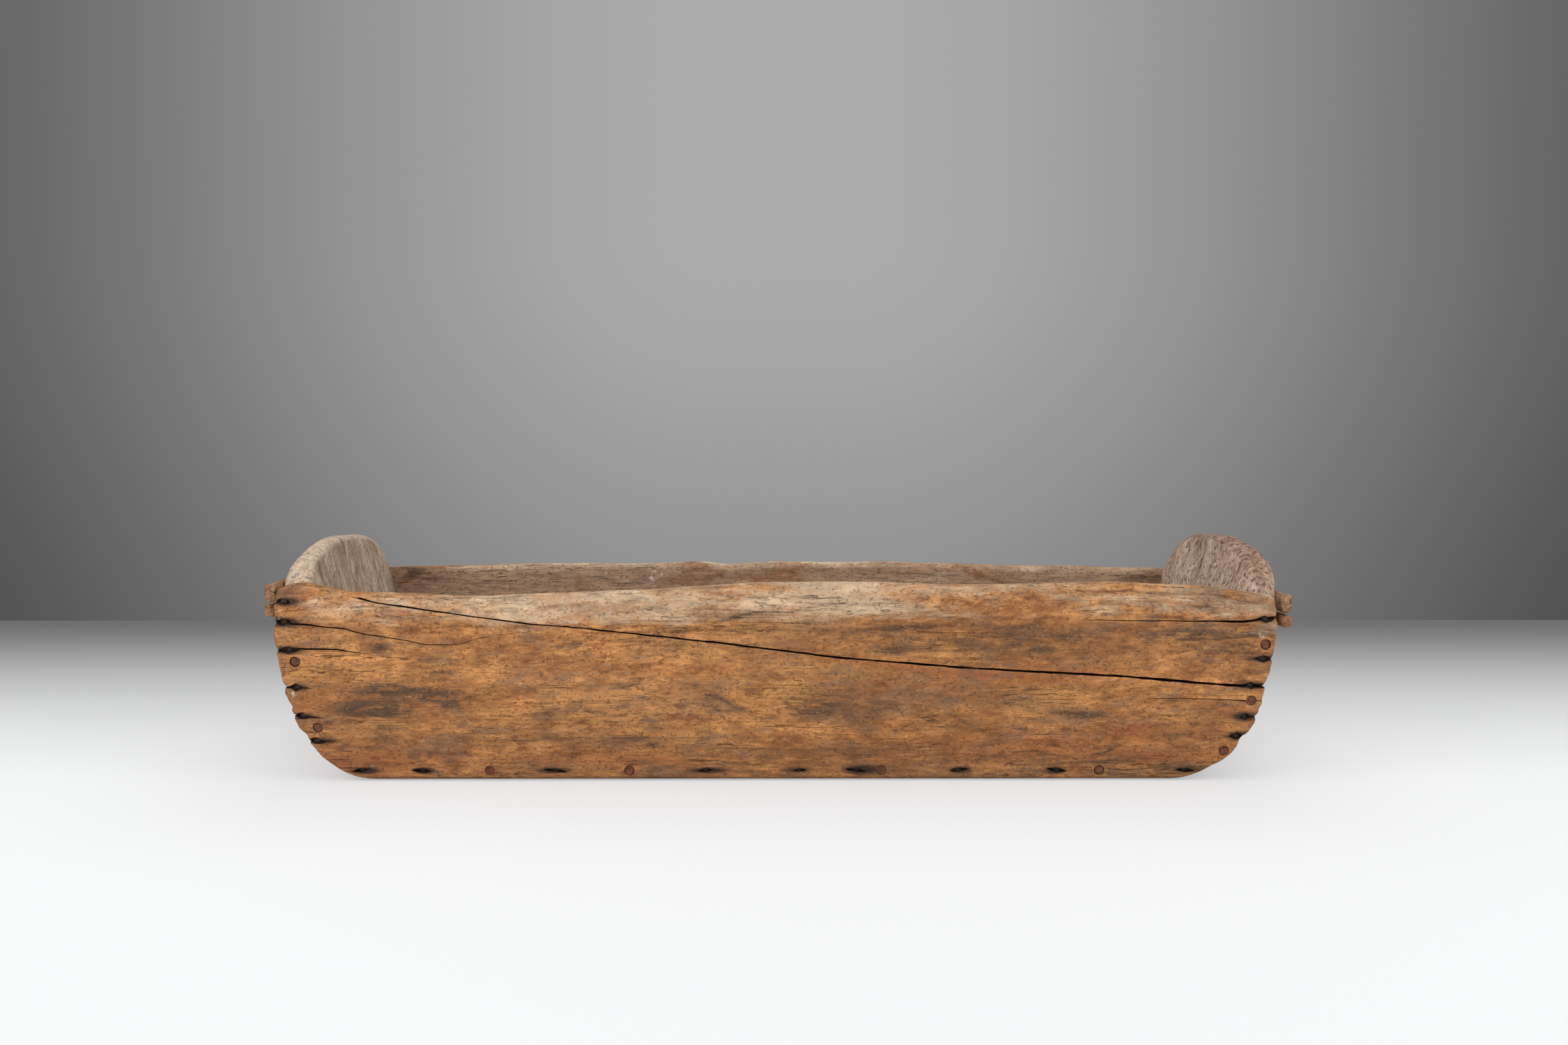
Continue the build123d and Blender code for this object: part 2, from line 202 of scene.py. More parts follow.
def worn(distance: np.ndarray, radius: float) -> np.ndarray:
    """How far a rounded edge lies inside the sharp one, at a distance from it."""
    inside = np.clip(radius - distance, 0, radius)
    return radius - np.sqrt(radius**2 - inside**2)


def crowd(share: np.ndarray, strength: float) -> np.ndarray:
    """Moves even shares from 0 to 1 towards both ends, so that a grid is finer there."""
    return share - strength / (2 * math.pi) * np.sin(2 * math.pi * share)


def bezier(points: list[tuple[np.ndarray, np.ndarray]], share: np.ndarray) -> list[np.ndarray]:
    """Points of a cubic curve.

    Args:
        points: The curve's four control points.
        share: How far along the curve each wanted point is.

    Returns:
        The first and the second coordinates.
    """
    weights = ((1 - share) ** 3, 3 * share * (1 - share) ** 2, 3 * share**2 * (1 - share), share**3)
    return [sum(w * p[k] for w, p in zip(weights, points)) for k in (0, 1)]


def circle_y(points: list[tuple[np.ndarray, np.ndarray]], height: np.ndarray) -> np.ndarray:
    """The greater Y, at a height, of the circle through three points.

    Args:
        points: Three points as (Y, height).
        height: Where on the circle.

    Returns:
        The circle's Y.
    """
    (ay, az), (by, bz), (cy, cz) = points
    d = 2 * (ay * (bz - cz) + by * (cz - az) + cy * (az - bz))
    a, b, c = ay**2 + az**2, by**2 + bz**2, cy**2 + cz**2
    centre_y = (a * (bz - cz) + b * (cz - az) + c * (az - bz)) / d
    centre_z = (a * (cy - by) + b * (ay - cy) + c * (by - ay)) / d
    squared = (ay - centre_y) ** 2 + (az - centre_z) ** 2 - (height - centre_z) ** 2
    return centre_y + np.sqrt(np.maximum(squared, 0))


def deselect() -> None:
    """Deselects every object."""
    for obj in bpy.context.selected_objects:
        obj.select_set(False)


def choose(obj: Object) -> None:
    """Makes one object the selected and active one.

    Args:
        obj: The object.
    """
    deselect()
    obj.select_set(True)
    bpy.context.view_layer.objects.active = obj


def settle(name: str = "") -> Object:
    """Applies the active object's place, turn and size to its mesh, and names it.

    Args:
        name: The object's new name, or nothing to keep the old one.

    Returns:
        The object.
    """
    bpy.ops.object.transform_apply(location=True, rotation=True, scale=True)
    made = bpy.context.object
    made.name = made.data.name = name or made.name
    return made


def points_of(obj: Object) -> np.ndarray:
    """An object's vertices in millimetres, one row each.

    Args:
        obj: The object.

    Returns:
        The vertices' places.
    """
    co = np.empty(len(obj.data.vertices) * 3, np.float32)
    obj.data.vertices.foreach_get("co", co)
    return co.reshape(-1, 3).astype(float) / MM


def normals_of(obj: Object) -> np.ndarray:
    """The normals at an object's vertices, one row each.

    Args:
        obj: The object.

    Returns:
        The normals.
    """
    normals = np.empty(len(obj.data.vertices) * 3, np.float32)
    obj.data.vertex_normals.foreach_get("vector", normals)
    return normals.reshape(-1, 3).astype(float)


def write_points(obj: Object, points: np.ndarray) -> None:
    """Moves an object's vertices to places in millimetres."""
    obj.data.vertices.foreach_set("co", (points * MM).astype(np.float32).ravel())
    obj.data.update()


def swell(obj: Object, points: np.ndarray, normals: np.ndarray, move: np.ndarray) -> None:
    """Moves a surface out along its normals, by millimetres for each vertex."""
    write_points(obj, points + normals * move[:, None])


def blank_marks(obj: Object) -> Marks:
    """A zero for each mark and vertex."""
    return {mark: np.zeros(len(obj.data.vertices)) for mark in Mark}


def write_marks(obj: Object, marks: Marks) -> None:
    """Keeps one number for each mark and vertex, which the finish reads by the mark's name.

    Args:
        obj: The piece.
        marks: The numbers, which are clipped to 0 and 1.
    """
    for mark, values in marks.items():
        made = obj.data.attributes.new(mark.value, "FLOAT", "POINT")
        made.data.foreach_set("value", np.clip(values, 0, 1).astype(np.float32))


def pick(obj: Object, test: Callable[[bpy.types.MeshPolygon], bool]) -> None:
    """Selects the faces that pass a test, in an object that is in object mode.

    Args:
        obj: The object.
        test: Says whether a face is wanted.
    """
    obj.data.vertices.foreach_set("select", np.zeros(len(obj.data.vertices), bool))
    obj.data.edges.foreach_set("select", np.zeros(len(obj.data.edges), bool))
    for face in obj.data.polygons:
        face.select = test(face)
    bpy.context.tool_settings.mesh_select_mode = (False, False, True)


def fine_box(name: str, cuts: Cuts) -> Object:
    """A box of 1 mm each way, from the origin, whose faces are cut into a fine grid.

    Args:
        name: The object's name.
        cuts: For each axis, the parts that its edges are cut into, one number for each pass.

    Returns:
        The box.
    """
    deselect()
    bpy.ops.mesh.primitive_cube_add(size=MM, location=(MM / 2,) * 3)
    box = settle(name)
    bpy.context.tool_settings.mesh_select_mode = (False, True, False)
    for axis, passes in enumerate(cuts):
        for parts in passes:
            mesh = box.data
            ends = np.empty(len(mesh.edges) * 2, np.int32)
            mesh.edges.foreach_get("vertices", ends)
            co = points_of(box)[ends.reshape(-1, 2)]
            along = np.abs(co[:, 0] - co[:, 1]).argmax(axis=1) == axis
            mesh.vertices.foreach_set("select", np.zeros(len(mesh.vertices), bool))
            mesh.polygons.foreach_set("select", np.zeros(len(mesh.polygons), bool))
            mesh.edges.foreach_set("select", along)
            bpy.ops.object.mode_set(mode="EDIT")
            bpy.ops.mesh.subdivide(number_cuts=parts - 1)
            bpy.ops.object.mode_set(mode="OBJECT")
    return box


def face_outwards(obj: Object) -> None:
    """Turns every face of a closed mesh outwards.

    Args:
        obj: The object.
    """
    choose(obj)
    bpy.ops.object.mode_set(mode="EDIT")
    bpy.ops.mesh.select_all(action="SELECT")
    bpy.ops.mesh.normals_make_consistent(inside=False)
    bpy.ops.object.mode_set(mode="OBJECT")


def join(pieces: list[Object], name: str) -> Object:
    """Makes several objects into one.

    Args:
        pieces: The objects, which are used up.
        name: The name of the one that is left.

    Returns:
        The joined object.
    """
    choose(pieces[0])
    for piece in pieces:
        piece.select_set(True)
    if len(pieces) > 1:
        bpy.ops.object.join()
    joined = bpy.context.object
    joined.name = joined.data.name = name
    return joined


def cut_away(obj: Object, cutters: list[Object], finish: bpy.types.Material) -> None:
    """Cuts objects out of another, and leaves a finish on the cut faces.

    Args:
        obj: What is cut.
        cutters: What is taken out, which is used up. They don't touch one another.
        finish: The cut faces' material.
    """
    for piece in cutters:
        piece.data.materials.clear()
        piece.data.materials.append(finish)
    cutter = join(cutters, f"{obj.name}_cutter")
    choose(obj)
    cut = obj.modifiers.new("cut", "BOOLEAN")
    cut.show_viewport = False
    cut.operation, cut.solver, cut.material_mode = "DIFFERENCE", "MANIFOLD", "TRANSFER"
    cut.object = cutter
    bpy.ops.object.modifier_apply(modifier=cut.name)
    bpy.data.objects.remove(cutter)


def hand_over(obj: Object, node: str, slot: str, angle: float = 40.0) -> Object:
    """Shades a finished piece and puts it in its CAD node's place.

    Args:
        obj: The piece.
        node: The node that it stands for.
        slot: The record's material slot, which is not used.
        angle: Edges sharper than this stay sharp, in degrees.

    Returns:
        The piece.
    """
    choose(obj)
    bpy.ops.object.shade_smooth_by_angle(angle=math.radians(angle))
    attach(obj, BODY)
    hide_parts(node)
    LOG.info("%s for %s: %d triangles", obj.name, node, sum(len(p.vertices) - 2 for p in obj.data.polygons))
    return obj


class Painter:
    """Short calls for the nodes that the finishes share."""

    def __init__(self, material: bpy.types.Material) -> None:
        """Starts on a new material's tree."""
        material.use_nodes = True
        self.tree = material.node_tree
        self.shader = self.tree.nodes["Principled BSDF"]
        self.place = self.tree.nodes.new("ShaderNodeTexCoord").outputs["Object"]

    def feed(self, value: object, socket: Socket) -> None:
        """Links a socket, or sets a number or a colour, on another socket.

        Args:
            value: What is fed.
            socket: The input that takes it.
        """
        if isinstance(value, Socket):
            self.tree.links.new(value, socket)
        elif isinstance(value, tuple) and len(socket.default_value) == 4:
            socket.default_value = (*value, 1.0)
        else:
            socket.default_value = value

    def math(self, operation: str, first: object, second: object = 0.0) -> Socket:
        """A Math node's result.

        Args:
            operation: The node's operation.
            first: Its first value.
            second: Its second value.

        Returns:
            The result.
        """
        node = self.tree.nodes.new("ShaderNodeMath")
        node.operation = operation
        self.feed(first, node.inputs[0])
        self.feed(second, node.inputs[1])
        return node.outputs["Value"]

    def plus(self, first: object, *others: object) -> Socket:
        """The sum of several values.

        Args:
            first: The first value.
            others: The rest.

        Returns:
            The sum.
        """
        for other in others:
            first = self.math("ADD", first, other)
        return first

    def times(self, first: object, *others: object) -> Socket:
        """The product of several values.

        Args:
            first: The first value.
            others: The rest.

        Returns:
            The product.
        """
        for other in others:
            first = self.math("MULTIPLY", first, other)
        return first

    def blend(self, *parts: tuple[Socket, float]) -> Socket:
        """The sum of several values, each times its weight."""
        return self.plus(*(self.times(value, weight) for value, weight in parts))

    def step(self, low: float, high: float, value: Socket) -> Socket:
        """A smooth step.

        Args:
            low: The value at which it is 0, which may be the greater.
            high: The value at which it is 1.
            value: What is compared.

        Returns:
            The step's share.
        """
        node = self.tree.nodes.new("ShaderNodeMapRange")
        node.interpolation_type = "SMOOTHSTEP"
        self.feed(value, node.inputs["Value"])
        turned = low > high
        node.inputs["From Min"].default_value = min(low, high)
        node.inputs["From Max"].default_value = max(low, high)
        node.inputs["To Min"].default_value = 1.0 if turned else 0.0
        node.inputs["To Max"].default_value = 0.0 if turned else 1.0
        return node.outputs["Result"]

    def over(self, colour: object, share: object, other: object) -> Socket:
        """A colour with another laid over it, by a share.

        Args:
            colour: The lower colour.
            share: How much of the other shows.
            other: The colour on top.

        Returns:
            The mixed colour.
        """
        node = self.tree.nodes.new("ShaderNodeMix")
        node.data_type = "RGBA"
        self.feed(share, node.inputs["Factor"])
        self.feed(colour, node.inputs[6])
        self.feed(other, node.inputs[7])
        return node.outputs[2]

    def lit(self, colour: Socket, value: object) -> Socket:
        """A colour made lighter or darker by a value.

        Args:
            colour: The colour.
            value: What it is multiplied by.

        Returns:
            The colour that comes out.
        """
        node = self.tree.nodes.new("ShaderNodeVectorMath")
        node.operation = "SCALE"
        self.feed(colour, node.inputs[0])
        self.feed(value, node.inputs["Scale"])
        return node.outputs["Vector"]

    def mark(self, mark: Mark) -> Socket:
        """The number that a mesh keeps for a mark.

        Args:
            mark: The mark.

        Returns:
            The number.
        """
        node = self.tree.nodes.new("ShaderNodeAttribute")
        node.attribute_name = mark.value
        return node.outputs["Fac"]

    def noise(
        self, scale: Triple, seed: float, detail: float = 4.0, rough: float = 0.62
    ) -> Socket:
        """Noise that is stretched along the axes.

        Args:
            scale: Its scale along X, Y and Z.
            seed: Where in the pattern it starts.
            detail: How many finer layers it has.
            rough: How strong the finer layers are.

        Returns:
            The noise's value, mostly from 0.3 to 0.7.
        """
        mapping = self.tree.nodes.new("ShaderNodeMapping")
        mapping.inputs["Scale"].default_value = scale
        mapping.inputs["Location"].default_value = (seed, seed * 1.7, seed * 0.6)
        self.feed(self.place, mapping.inputs["Vector"])
        made = self.tree.nodes.new("ShaderNodeTexNoise")
        made.inputs["Scale"].default_value = 1.0
        made.inputs["Detail"].default_value = detail
        made.inputs["Roughness"].default_value = rough
        self.feed(mapping.outputs["Vector"], made.inputs["Vector"])
        return made.outputs["Fac"]

    def along(self, axis: int) -> Socket:
        """How far a point is along an axis, in metres.

        Args:
            axis: The axis, from 0 for X to 2 for Z.

        Returns:
            The distance.
        """
        node = self.tree.nodes.new("ShaderNodeSeparateXYZ")
        self.feed(self.place, node.inputs[0])
        return node.outputs[axis]

    def wander(self, shift: Socket, amount: float) -> None:
        """Moves the coordinates that later patterns read, in metres, by a noise.

        Args:
            shift: The noise.
            amount: The furthest that it moves them.
        """
        spread = self.times(self.math("SUBTRACT", shift, 0.5), amount * 2)
        combined = self.tree.nodes.new("ShaderNodeCombineXYZ")
        for socket in combined.inputs:
            self.feed(spread, socket)
        node = self.tree.nodes.new("ShaderNodeVectorMath")
        self.feed(self.place, node.inputs[0])
        self.feed(combined.outputs["Vector"], node.inputs[1])
        self.place = node.outputs["Vector"]

    def finish(self, colour: Socket, rough: Socket, height: Socket, relief: float) -> None:
        """Links the shader.

        Args:
            colour: The surface's colour.
            rough: Its roughness.
            height: Its fine relief, from about 0 to 1.
            relief: How deep that is, in millimetres.
        """
        self.feed(colour, self.shader.inputs["Base Color"])
        self.feed(rough, self.shader.inputs["Roughness"])
        bump = self.tree.nodes.new("ShaderNodeBump")
        bump.inputs["Strength"].default_value = 1.0
        bump.inputs["Distance"].default_value = relief * MM
        self.feed(height, bump.inputs["Height"])
        self.feed(bump.outputs["Normal"], self.shader.inputs["Normal"])


class Finish:
    """A finish whose material is made once, and painted by each kind in its own way."""

    name: str

    def paint(self, kit: Painter) -> None:
        """Lays the finish's nodes."""
        raise NotImplementedError

    def material(self) -> bpy.types.Material:
        """The finish's material.

        Returns:
            The material, which the first call makes.
        """
        made = bpy.data.materials.get(self.name)
        if made is None:
            made = bpy.data.materials.new(self.name)
            self.paint(Painter(made))
        return made


@dataclass(frozen=True)
class Wood(Finish):
    """Bare old wood: long grain, warm and dull patches, streaks, hairline checks, specks and stains."""

    name: str
    warm: Colour
    brown: Colour
    dark: Colour
    dull: Colour
    pale: Colour
    grain: Grain = Grain.ALONG
    seed: float = 0.0
    streaks: float = 0.4
    pitting: float = 0.4
    relief: float = 2.2
    red: Colour = linear(146, 80, 45)
    gold: Colour = linear(200, 141, 81)
    old_paint: Colour = linear(226, 220, 208)
    soot: Colour = linear(37, 29, 25)

    def scale(self, along: float, across: float) -> Triple:
        """A pattern's scale on the three axes, from its scale along the grain and across it.

        Args:
            along: The scale along the grain.
            across: The scale across it.

        Returns:
            The scale on X, Y and Z.
        """
        scales = [across] * 3
        scales[self.grain.value] = along
        return tuple(scales)

    def paint(self, kit: Painter) -> None:
        """Lays the wood's layers."""
        WoodCoat(self, kit).build()


class WoodCoat:
    """The layers of a wood's finish, from its ground to its soot, old paint and painted shade."""

    def __init__(self, wood: Wood, kit: Painter) -> None:
        """Makes the patterns that the layers share.

        Args:
            wood: The wood.
            kit: Its material's painter.
        """
        self.wood, self.kit = wood, kit
        self.colour: object = wood.brown
        kit.wander(self.noise(1.7, 6.0, 0, 2), 0.012)
        kit.wander(self.noise(15.0, 44.0, 9, 3), 0.004)
        self.broad = self.noise(2.1, 7.5, 1, 5)
        self.cloud = self.noise(9.0, 26.0, 2, 7, 0.68)
        self.mottle = self.noise(34.0, 85.0, 11, 5, 0.66)
        self.patch = self.noise(17.0, 55.0, 12, 6, 0.7)
        self.band = self.noise(3.6, 62.0, 3, 5)
        self.streak = self.noise(8.0, 170.0, 4, 4)
        self.fibre = self.noise(30.0, 430.0, 5, 4)
        self.fleck = self.noise(130.0, 400.0, 7, 4)
        self.chip = self.noise(62.0, 190.0, 14, 5, 0.68)
        self.curl = kit.times(self.thin(self.patch, 0.51, 0.008), kit.step(0.51, 0.60, self.mottle))
        hair = self.noise(3.4, 110.0, 6, 3)
        self.crack = kit.times(self.thin(hair, 0.5, 0.012), kit.step(0.51, 0.59, self.cloud))
        coarse = 1.3 - 0.5 * wood.pitting
        edge = 0.62 - 0.04 * wood.pitting
        self.pits = kit.step(edge, edge + 0.05, self.noise(200.0 * coarse, 250.0 * coarse, 8, 3))

    def noise(self, along: float, across: float, shift: int, *detail: float) -> Socket:
        """Noise that is stretched along the grain.

        Args:
            along: Its scale along the grain.
            across: Its scale across it.
            shift: Which of the wood's patterns it is.
            detail: How many finer layers it has, and how strong they are.

        Returns:
            The noise's value.
        """
        return self.kit.noise(self.wood.scale(along, across), self.wood.seed + shift, *detail)

    def thin(self, pattern: Socket, level: float, width: float) -> Socket:
        """The thin lines where a pattern crosses a level."""
        away = self.kit.math("ABSOLUTE", self.kit.math("SUBTRACT", pattern, level))
        return self.kit.step(width, 0.0, away)

    def lay(self, share: Socket, colour: Colour, strength: float = 1.0) -> None:
        """Lays a colour, or a share of its strength, over what is there."""
        self.colour = self.kit.over(self.colour, share, tuple(part * strength for part in colour))

    def ground(self) -> None:
        """Warm wood on brown, with golden patches and small red and gold chips."""
        kit, wood = self.kit, self.wood
        mixed = kit.blend((self.broad, 0.4), (self.cloud, 0.35), (self.mottle, 0.25))
        self.lay(kit.step(0.43, 0.56, mixed), wood.warm)
        gold = kit.blend((kit.mark(Mark.GOLD), 0.6), (kit.step(0.52, 0.60, self.cloud), 0.5))
        self.lay(kit.times(gold, kit.step(0.40, 0.54, self.patch)), wood.gold)
        chips = kit.times(kit.step(0.54, 0.57, self.chip), kit.step(0.45, 0.56, self.broad), 0.65)
        self.lay(chips, wood.red, 0.66)
        chips = kit.times(kit.step(0.45, 0.42, self.chip), kit.step(0.56, 0.46, self.broad), 0.4)
        self.lay(chips, wood.gold)

    def patches(self) -> None:
        """Dull, red and stained patches."""
        kit, wood = self.kit, self.wood
        dull = kit.times(kit.mark(Mark.DULL), kit.step(0.36, 0.50, self.cloud))
        self.lay(kit.plus(dull, kit.times(kit.step(0.53, 0.60, self.patch), 0.6)), wood.dull)
        flaked = kit.step(0.47, 0.53, kit.blend((self.mottle, 0.6), (self.cloud, 0.4)))
        flaked = kit.plus(kit.times(flaked, 0.7), 0.25)
        self.lay(kit.times(kit.mark(Mark.RED), flaked), wood.red)
        blotched = kit.step(0.46, 0.51, kit.blend((self.mottle, 0.4), (self.patch, 0.6)))
        blotched = kit.plus(kit.times(blotched, 0.8), 0.2)
        self.lay(kit.times(kit.mark(Mark.STAIN), blotched), wood.dark)

    def bleach(self) -> None:
        """Pale wood on rims and tops, and dark streaks elsewhere."""
        kit, wood = self.kit, self.wood
        pale = kit.mark(Mark.PALE)
        patchy = kit.blend((self.cloud, 1.9), (self.patch, 1.2), (self.band, 0.7))
        share = kit.step(0.2, 0.95, kit.plus(pale, kit.math("SUBTRACT", patchy, 1.88)))
        self.lay(kit.times(share, kit.step(0.02, 0.25, pale), 0.85), wood.pale)
        streaky = kit.step(0.46, 0.64, self.broad)
        streaky = kit.blend((streaky, wood.streaks), (kit.mark(Mark.STAIN), 0.8))
        streaky = kit.times(streaky, kit.step(1.1, 0.2, pale))
        self.lay(kit.times(kit.step(0.52, 0.60, self.streak), streaky), wood.dark, 0.8)

    def fibres(self) -> None:
        """The light and dark of the fibres, scratches across planed places, and specks."""
        kit, wood = self.kit, self.wood
        tone = kit.blend((self.fibre, 0.4), (self.band, 0.5), (self.mottle, 1.8), (self.fleck, 0.7))
        self.colour = kit.lit(self.colour, kit.plus(tone, -0.68))
        scratch = kit.step(0.47, 0.53, kit.noise((420.0, 60.0, 34.0), wood.seed + 13, 2))
        self.lay(kit.times(scratch, kit.step(0.55, 0.8, kit.mark(Mark.GOLD)), 0.3), wood.dull)
        self.lay(kit.times(kit.step(0.62, 0.69, self.fleck), 0.45), wood.dark, 0.5)
        self.lay(kit.times(kit.step(0.38, 0.31, self.fleck), 0.4), wood.pale)

    def openings(self) -> None:
        """Thin curls, hairline checks and small pits."""
        kit, wood = self.kit, self.wood
        self.lay(kit.times(self.curl, 0.6), wood.red, 0.4)
        self.lay(kit.times(self.crack, 0.75), wood.dark, 0.25)
        self.lay(kit.times(self.pits, 0.3 + 0.26 * wood.pitting), wood.dark, 0.6)

    def dirt_and_painted_shade(self) -> None:
        """Soot round the iron, flakes of old paint, and painted shade along the foot of the side boards."""
        kit, wood = self.kit, self.wood
        iron = kit.times(kit.mark(Mark.IRON), kit.blend((self.band, 1.2), (self.mottle, 1.2)))
        self.lay(kit.times(kit.step(0.16, 0.9, iron), 0.9), wood.soot)
        flake = kit.step(0.56, 0.60, kit.noise((130.0, 130.0, 130.0), wood.seed + 10, 2))
        self.lay(kit.times(kit.mark(Mark.PAINT), flake), wood.old_paint)
        # Painted shade along the foot of the side boards, where they stand on the floor
        self.lay(kit.times(kit.mark(Mark.CUT), 0.85), wood.dark, 0.3)

    def build(self) -> None:
        """Lays every layer and links the shader."""
        for layer in (self.ground, self.patches, self.bleach, self.fibres, self.openings, self.dirt_and_painted_shade):
            layer()
        kit = self.kit
        kit.shader.inputs["Specular IOR Level"].default_value = 0.25
        height = kit.blend((self.fibre, 0.4), (self.streak, 0.5), (self.mottle, 0.9))
        opened = kit.times(kit.plus(self.crack, kit.times(self.curl, 0.5)), 0.6)
        pitted = kit.times(self.pits, 0.2 + 0.4 * self.wood.pitting)
        height = kit.math("SUBTRACT", kit.math("SUBTRACT", height, opened), pitted)
        kit.finish(self.colour, kit.plus(kit.times(self.fibre, 0.25), 0.66), height, self.wood.relief)


@dataclass(frozen=True)
class ShadedCutWood(Finish):
    """Painted shade on the wood inside a crack, a pit or a hole: nearly black, with paler grain in patches.
    """

    name: str = "cracked_wood"
    # Nearly black, as painted shade inside the cut
    deep: Colour = linear(34, 24, 19)
    edge: Colour = linear(88, 60, 42)

    def paint(self, kit: Painter) -> None:
        """Lays the finish.

        Args:
            kit: The painter.
        """
        grain = kit.noise((30.0, 300.0, 300.0), 2.0, 4)
        patch = kit.noise((60.0, 60.0, 60.0), 5.0, 3)
        shown = kit.times(kit.step(0.45, 0.65, grain), kit.step(0.4, 0.6, patch))
        kit.shader.inputs["Specular IOR Level"].default_value = 0.15
        kit.finish(kit.over(self.deep, shown, self.edge), kit.plus(kit.times(grain, 0.1), 0.85), grain, 0.8)


@dataclass(frozen=True)
class ForgedIron(Finish):
    """The black, lightly rusted iron of the nails."""

    name: str = "forged_iron"
    black: Colour = linear(40, 34, 31)
    rust: Colour = linear(94, 56, 36)

    def paint(self, kit: Painter) -> None:
        """Lays the finish.

        Args:
            kit: The painter.
        """
        scale = kit.noise((160.0, 160.0, 160.0), 1.0, 5)
        bloom = kit.noise((420.0, 420.0, 420.0), 4.0, 4)
        rusted = kit.step(0.46, 0.62, kit.blend((scale, 0.7), (bloom, 0.3)))
        colour = kit.over(self.black, rusted, self.rust)
        kit.shader.inputs["Metallic"].default_value = 0.35
        kit.finish(colour, kit.plus(kit.times(rusted, 0.25), 0.58), kit.plus(scale, bloom), 0.5)


@dataclass(frozen=True)
class End:
    """One end of the trough: how its outline curves from the rim down to the floor."""

    side: int
    board_end: float
    proud: float
    curve_top: float
    radius: float
    turn: float
    notches: tuple[Triple, ...]

    @property
    def name(self) -> str:
        """The end's name in the nodes' names."""
        return "left" if self.side < 0 else "right"

    @property
    def join_height(self) -> float:
        """Where the long curve meets the toe's tighter one."""
        return self.curve_top - self.radius * math.sin(math.radians(self.turn))

    @property
    def toe_radius(self) -> float:
        """The radius of the tighter curve."""
        return self.join_height / (1 - math.sin(math.radians(self.turn)))

    @property
    def toe_centre(self) -> float:
        """How far in from the board's end the toe's curve is centred."""
        turn = math.radians(self.turn)
        return self.radius * (1 - math.cos(turn)) + self.toe_radius * math.cos(turn)

    def setback(self, height: np.ndarray) -> np.ndarray:
        """How far in from the board's end the outline is at heights.

        Args:
            height: The heights.

        Returns:
            The distances.
        """
        z = np.clip(height, 0, self.curve_top)
        long_curve = self.radius - np.sqrt(self.radius**2 - (self.curve_top - z) ** 2)
        low = np.minimum(z, self.join_height)
        toe = self.toe_centre - np.sqrt(self.toe_radius**2 - (self.toe_radius - low) ** 2)
        return np.where(z < self.join_height, toe, long_curve)

    def worn_outline(self, height: np.ndarray, seed: int, nails: list[float]) -> np.ndarray:
        """The X of a side board's end, worn back by use and split at its nails.

        Args:
            height: Where on the outline.
            seed: The board's pattern of wear.
            nails: The heights of the nails near this end.

        Returns:
            The outline's X.
        """
        depth = 1.7 * line_noise(height, 15.0, seed + 40 + self.side, 3)
        for notch, deep, tall in self.notches:
            depth = depth + deep * hump(height, notch, tall)
        for nail in nails:
            depth = depth + 3.4 * hump(height, nail, 3.4)
        return self.side * (self.board_end - self.setback(height) - np.maximum(depth, -1.5))


LEFT = End(
    side=-1,
    board_end=654.0,
    proud=0.0,
    curve_top=225.0,
    radius=436.0,
    turn=20.0,
    notches=((103.0, 3.0, 5.0), (64.0, 4.0, 5.0)),
)
RIGHT = End(
    side=1,
    board_end=646.0,
    proud=8.0,
    curve_top=230.0,
    radius=454.0,
    turn=18.0,
    notches=((57.0, 4.0, 5.0), (118.0, 1.5, 8.0), (20.0, 2.0, 6.0)),
)
BOARD_LENGTH = LEFT.board_end + RIGHT.board_end
FLARE = math.tan(math.radians(5.0))
FLOOR_THICKNESS = 30.0
FLOOR_HALF_WIDTH = 172.0  # at the floor, between the side boards
FIT = 0.2  # between boards
FRAME: dict = {}  # what the frame's kit has loaded


def inner_y(height: np.ndarray) -> np.ndarray:
    """Distance from the middle to a side board's inner face."""
    return FLOOR_HALF_WIDTH + height * FLARE


WEDGE_STEP = 7.0  # between the points along a crack
WEDGE_RISE = 6.0  # how far the cutting wedge stands out of the face


@dataclass(frozen=True)
class Crack:
    """A crack: its path over a face, its width and depth at their most, and how it tapers along the path."""

    path: tuple[Point, ...]
    width: float
    depth: float
    start: float = 1.0
    end: float = 0.2
    jitter: float = 0.7

    def wedge(self, seed: int, place: Callable[[np.ndarray], np.ndarray]) -> Object:
        """Makes the wandering wedge that is cut out of a face.

        Args:
            seed: Which pattern it wanders by.
            place: Turns rows of (along, sideways, outward) into points, where outward is from the face.

        Returns:
            The wedge.
        """
        first, second = (np.array(values) for values in zip(*self.path))
        order = np.argsort(first)
        count = max(6, int(np.ptp(first) / WEDGE_STEP))
        along = np.linspace(first.min(), first.max(), count)
        sideways = np.interp(along, first[order], second[order])
        sideways = sideways + self.jitter * line_noise(along, 16.0, seed, 3)
        share = np.linspace(0, 1, count)
        if first[0] > first[-1]:
            share = 1 - share
        width = self.width * (self.start + (self.end - self.start) * share)
        width = np.maximum(width * (1 + 0.45 * line_noise(along, 22.0, seed + 1, 2)), 0.15)
        depth = self.depth * np.clip(width / self.width, 0.3, 1)
        spread, rise = width / 2 * (1 + WEDGE_RISE / depth), np.full(count, WEDGE_RISE)
        rows = [(sideways + spread, rise), (sideways - spread, rise), (sideways, -depth)]
        verts = np.concatenate([place(np.stack([along, side, lift], axis=1)) for side, lift in rows])
        faces = [(0, count, 2 * count), (count - 1, 3 * count - 1, 2 * count - 1)]
        for i, (a, b) in itertools.product(range(count - 1), ((0, 1), (1, 2), (2, 0))):
            faces.append((a * count + i, b * count + i, b * count + i + 1, a * count + i + 1))
        mesh = bpy.data.meshes.new("wedge")
        mesh.from_pydata((verts * MM).tolist(), [], faces)
        made = bpy.data.objects.new(mesh.name, mesh)
        bpy.context.scene.collection.objects.link(made)
        face_outwards(made)
        return made


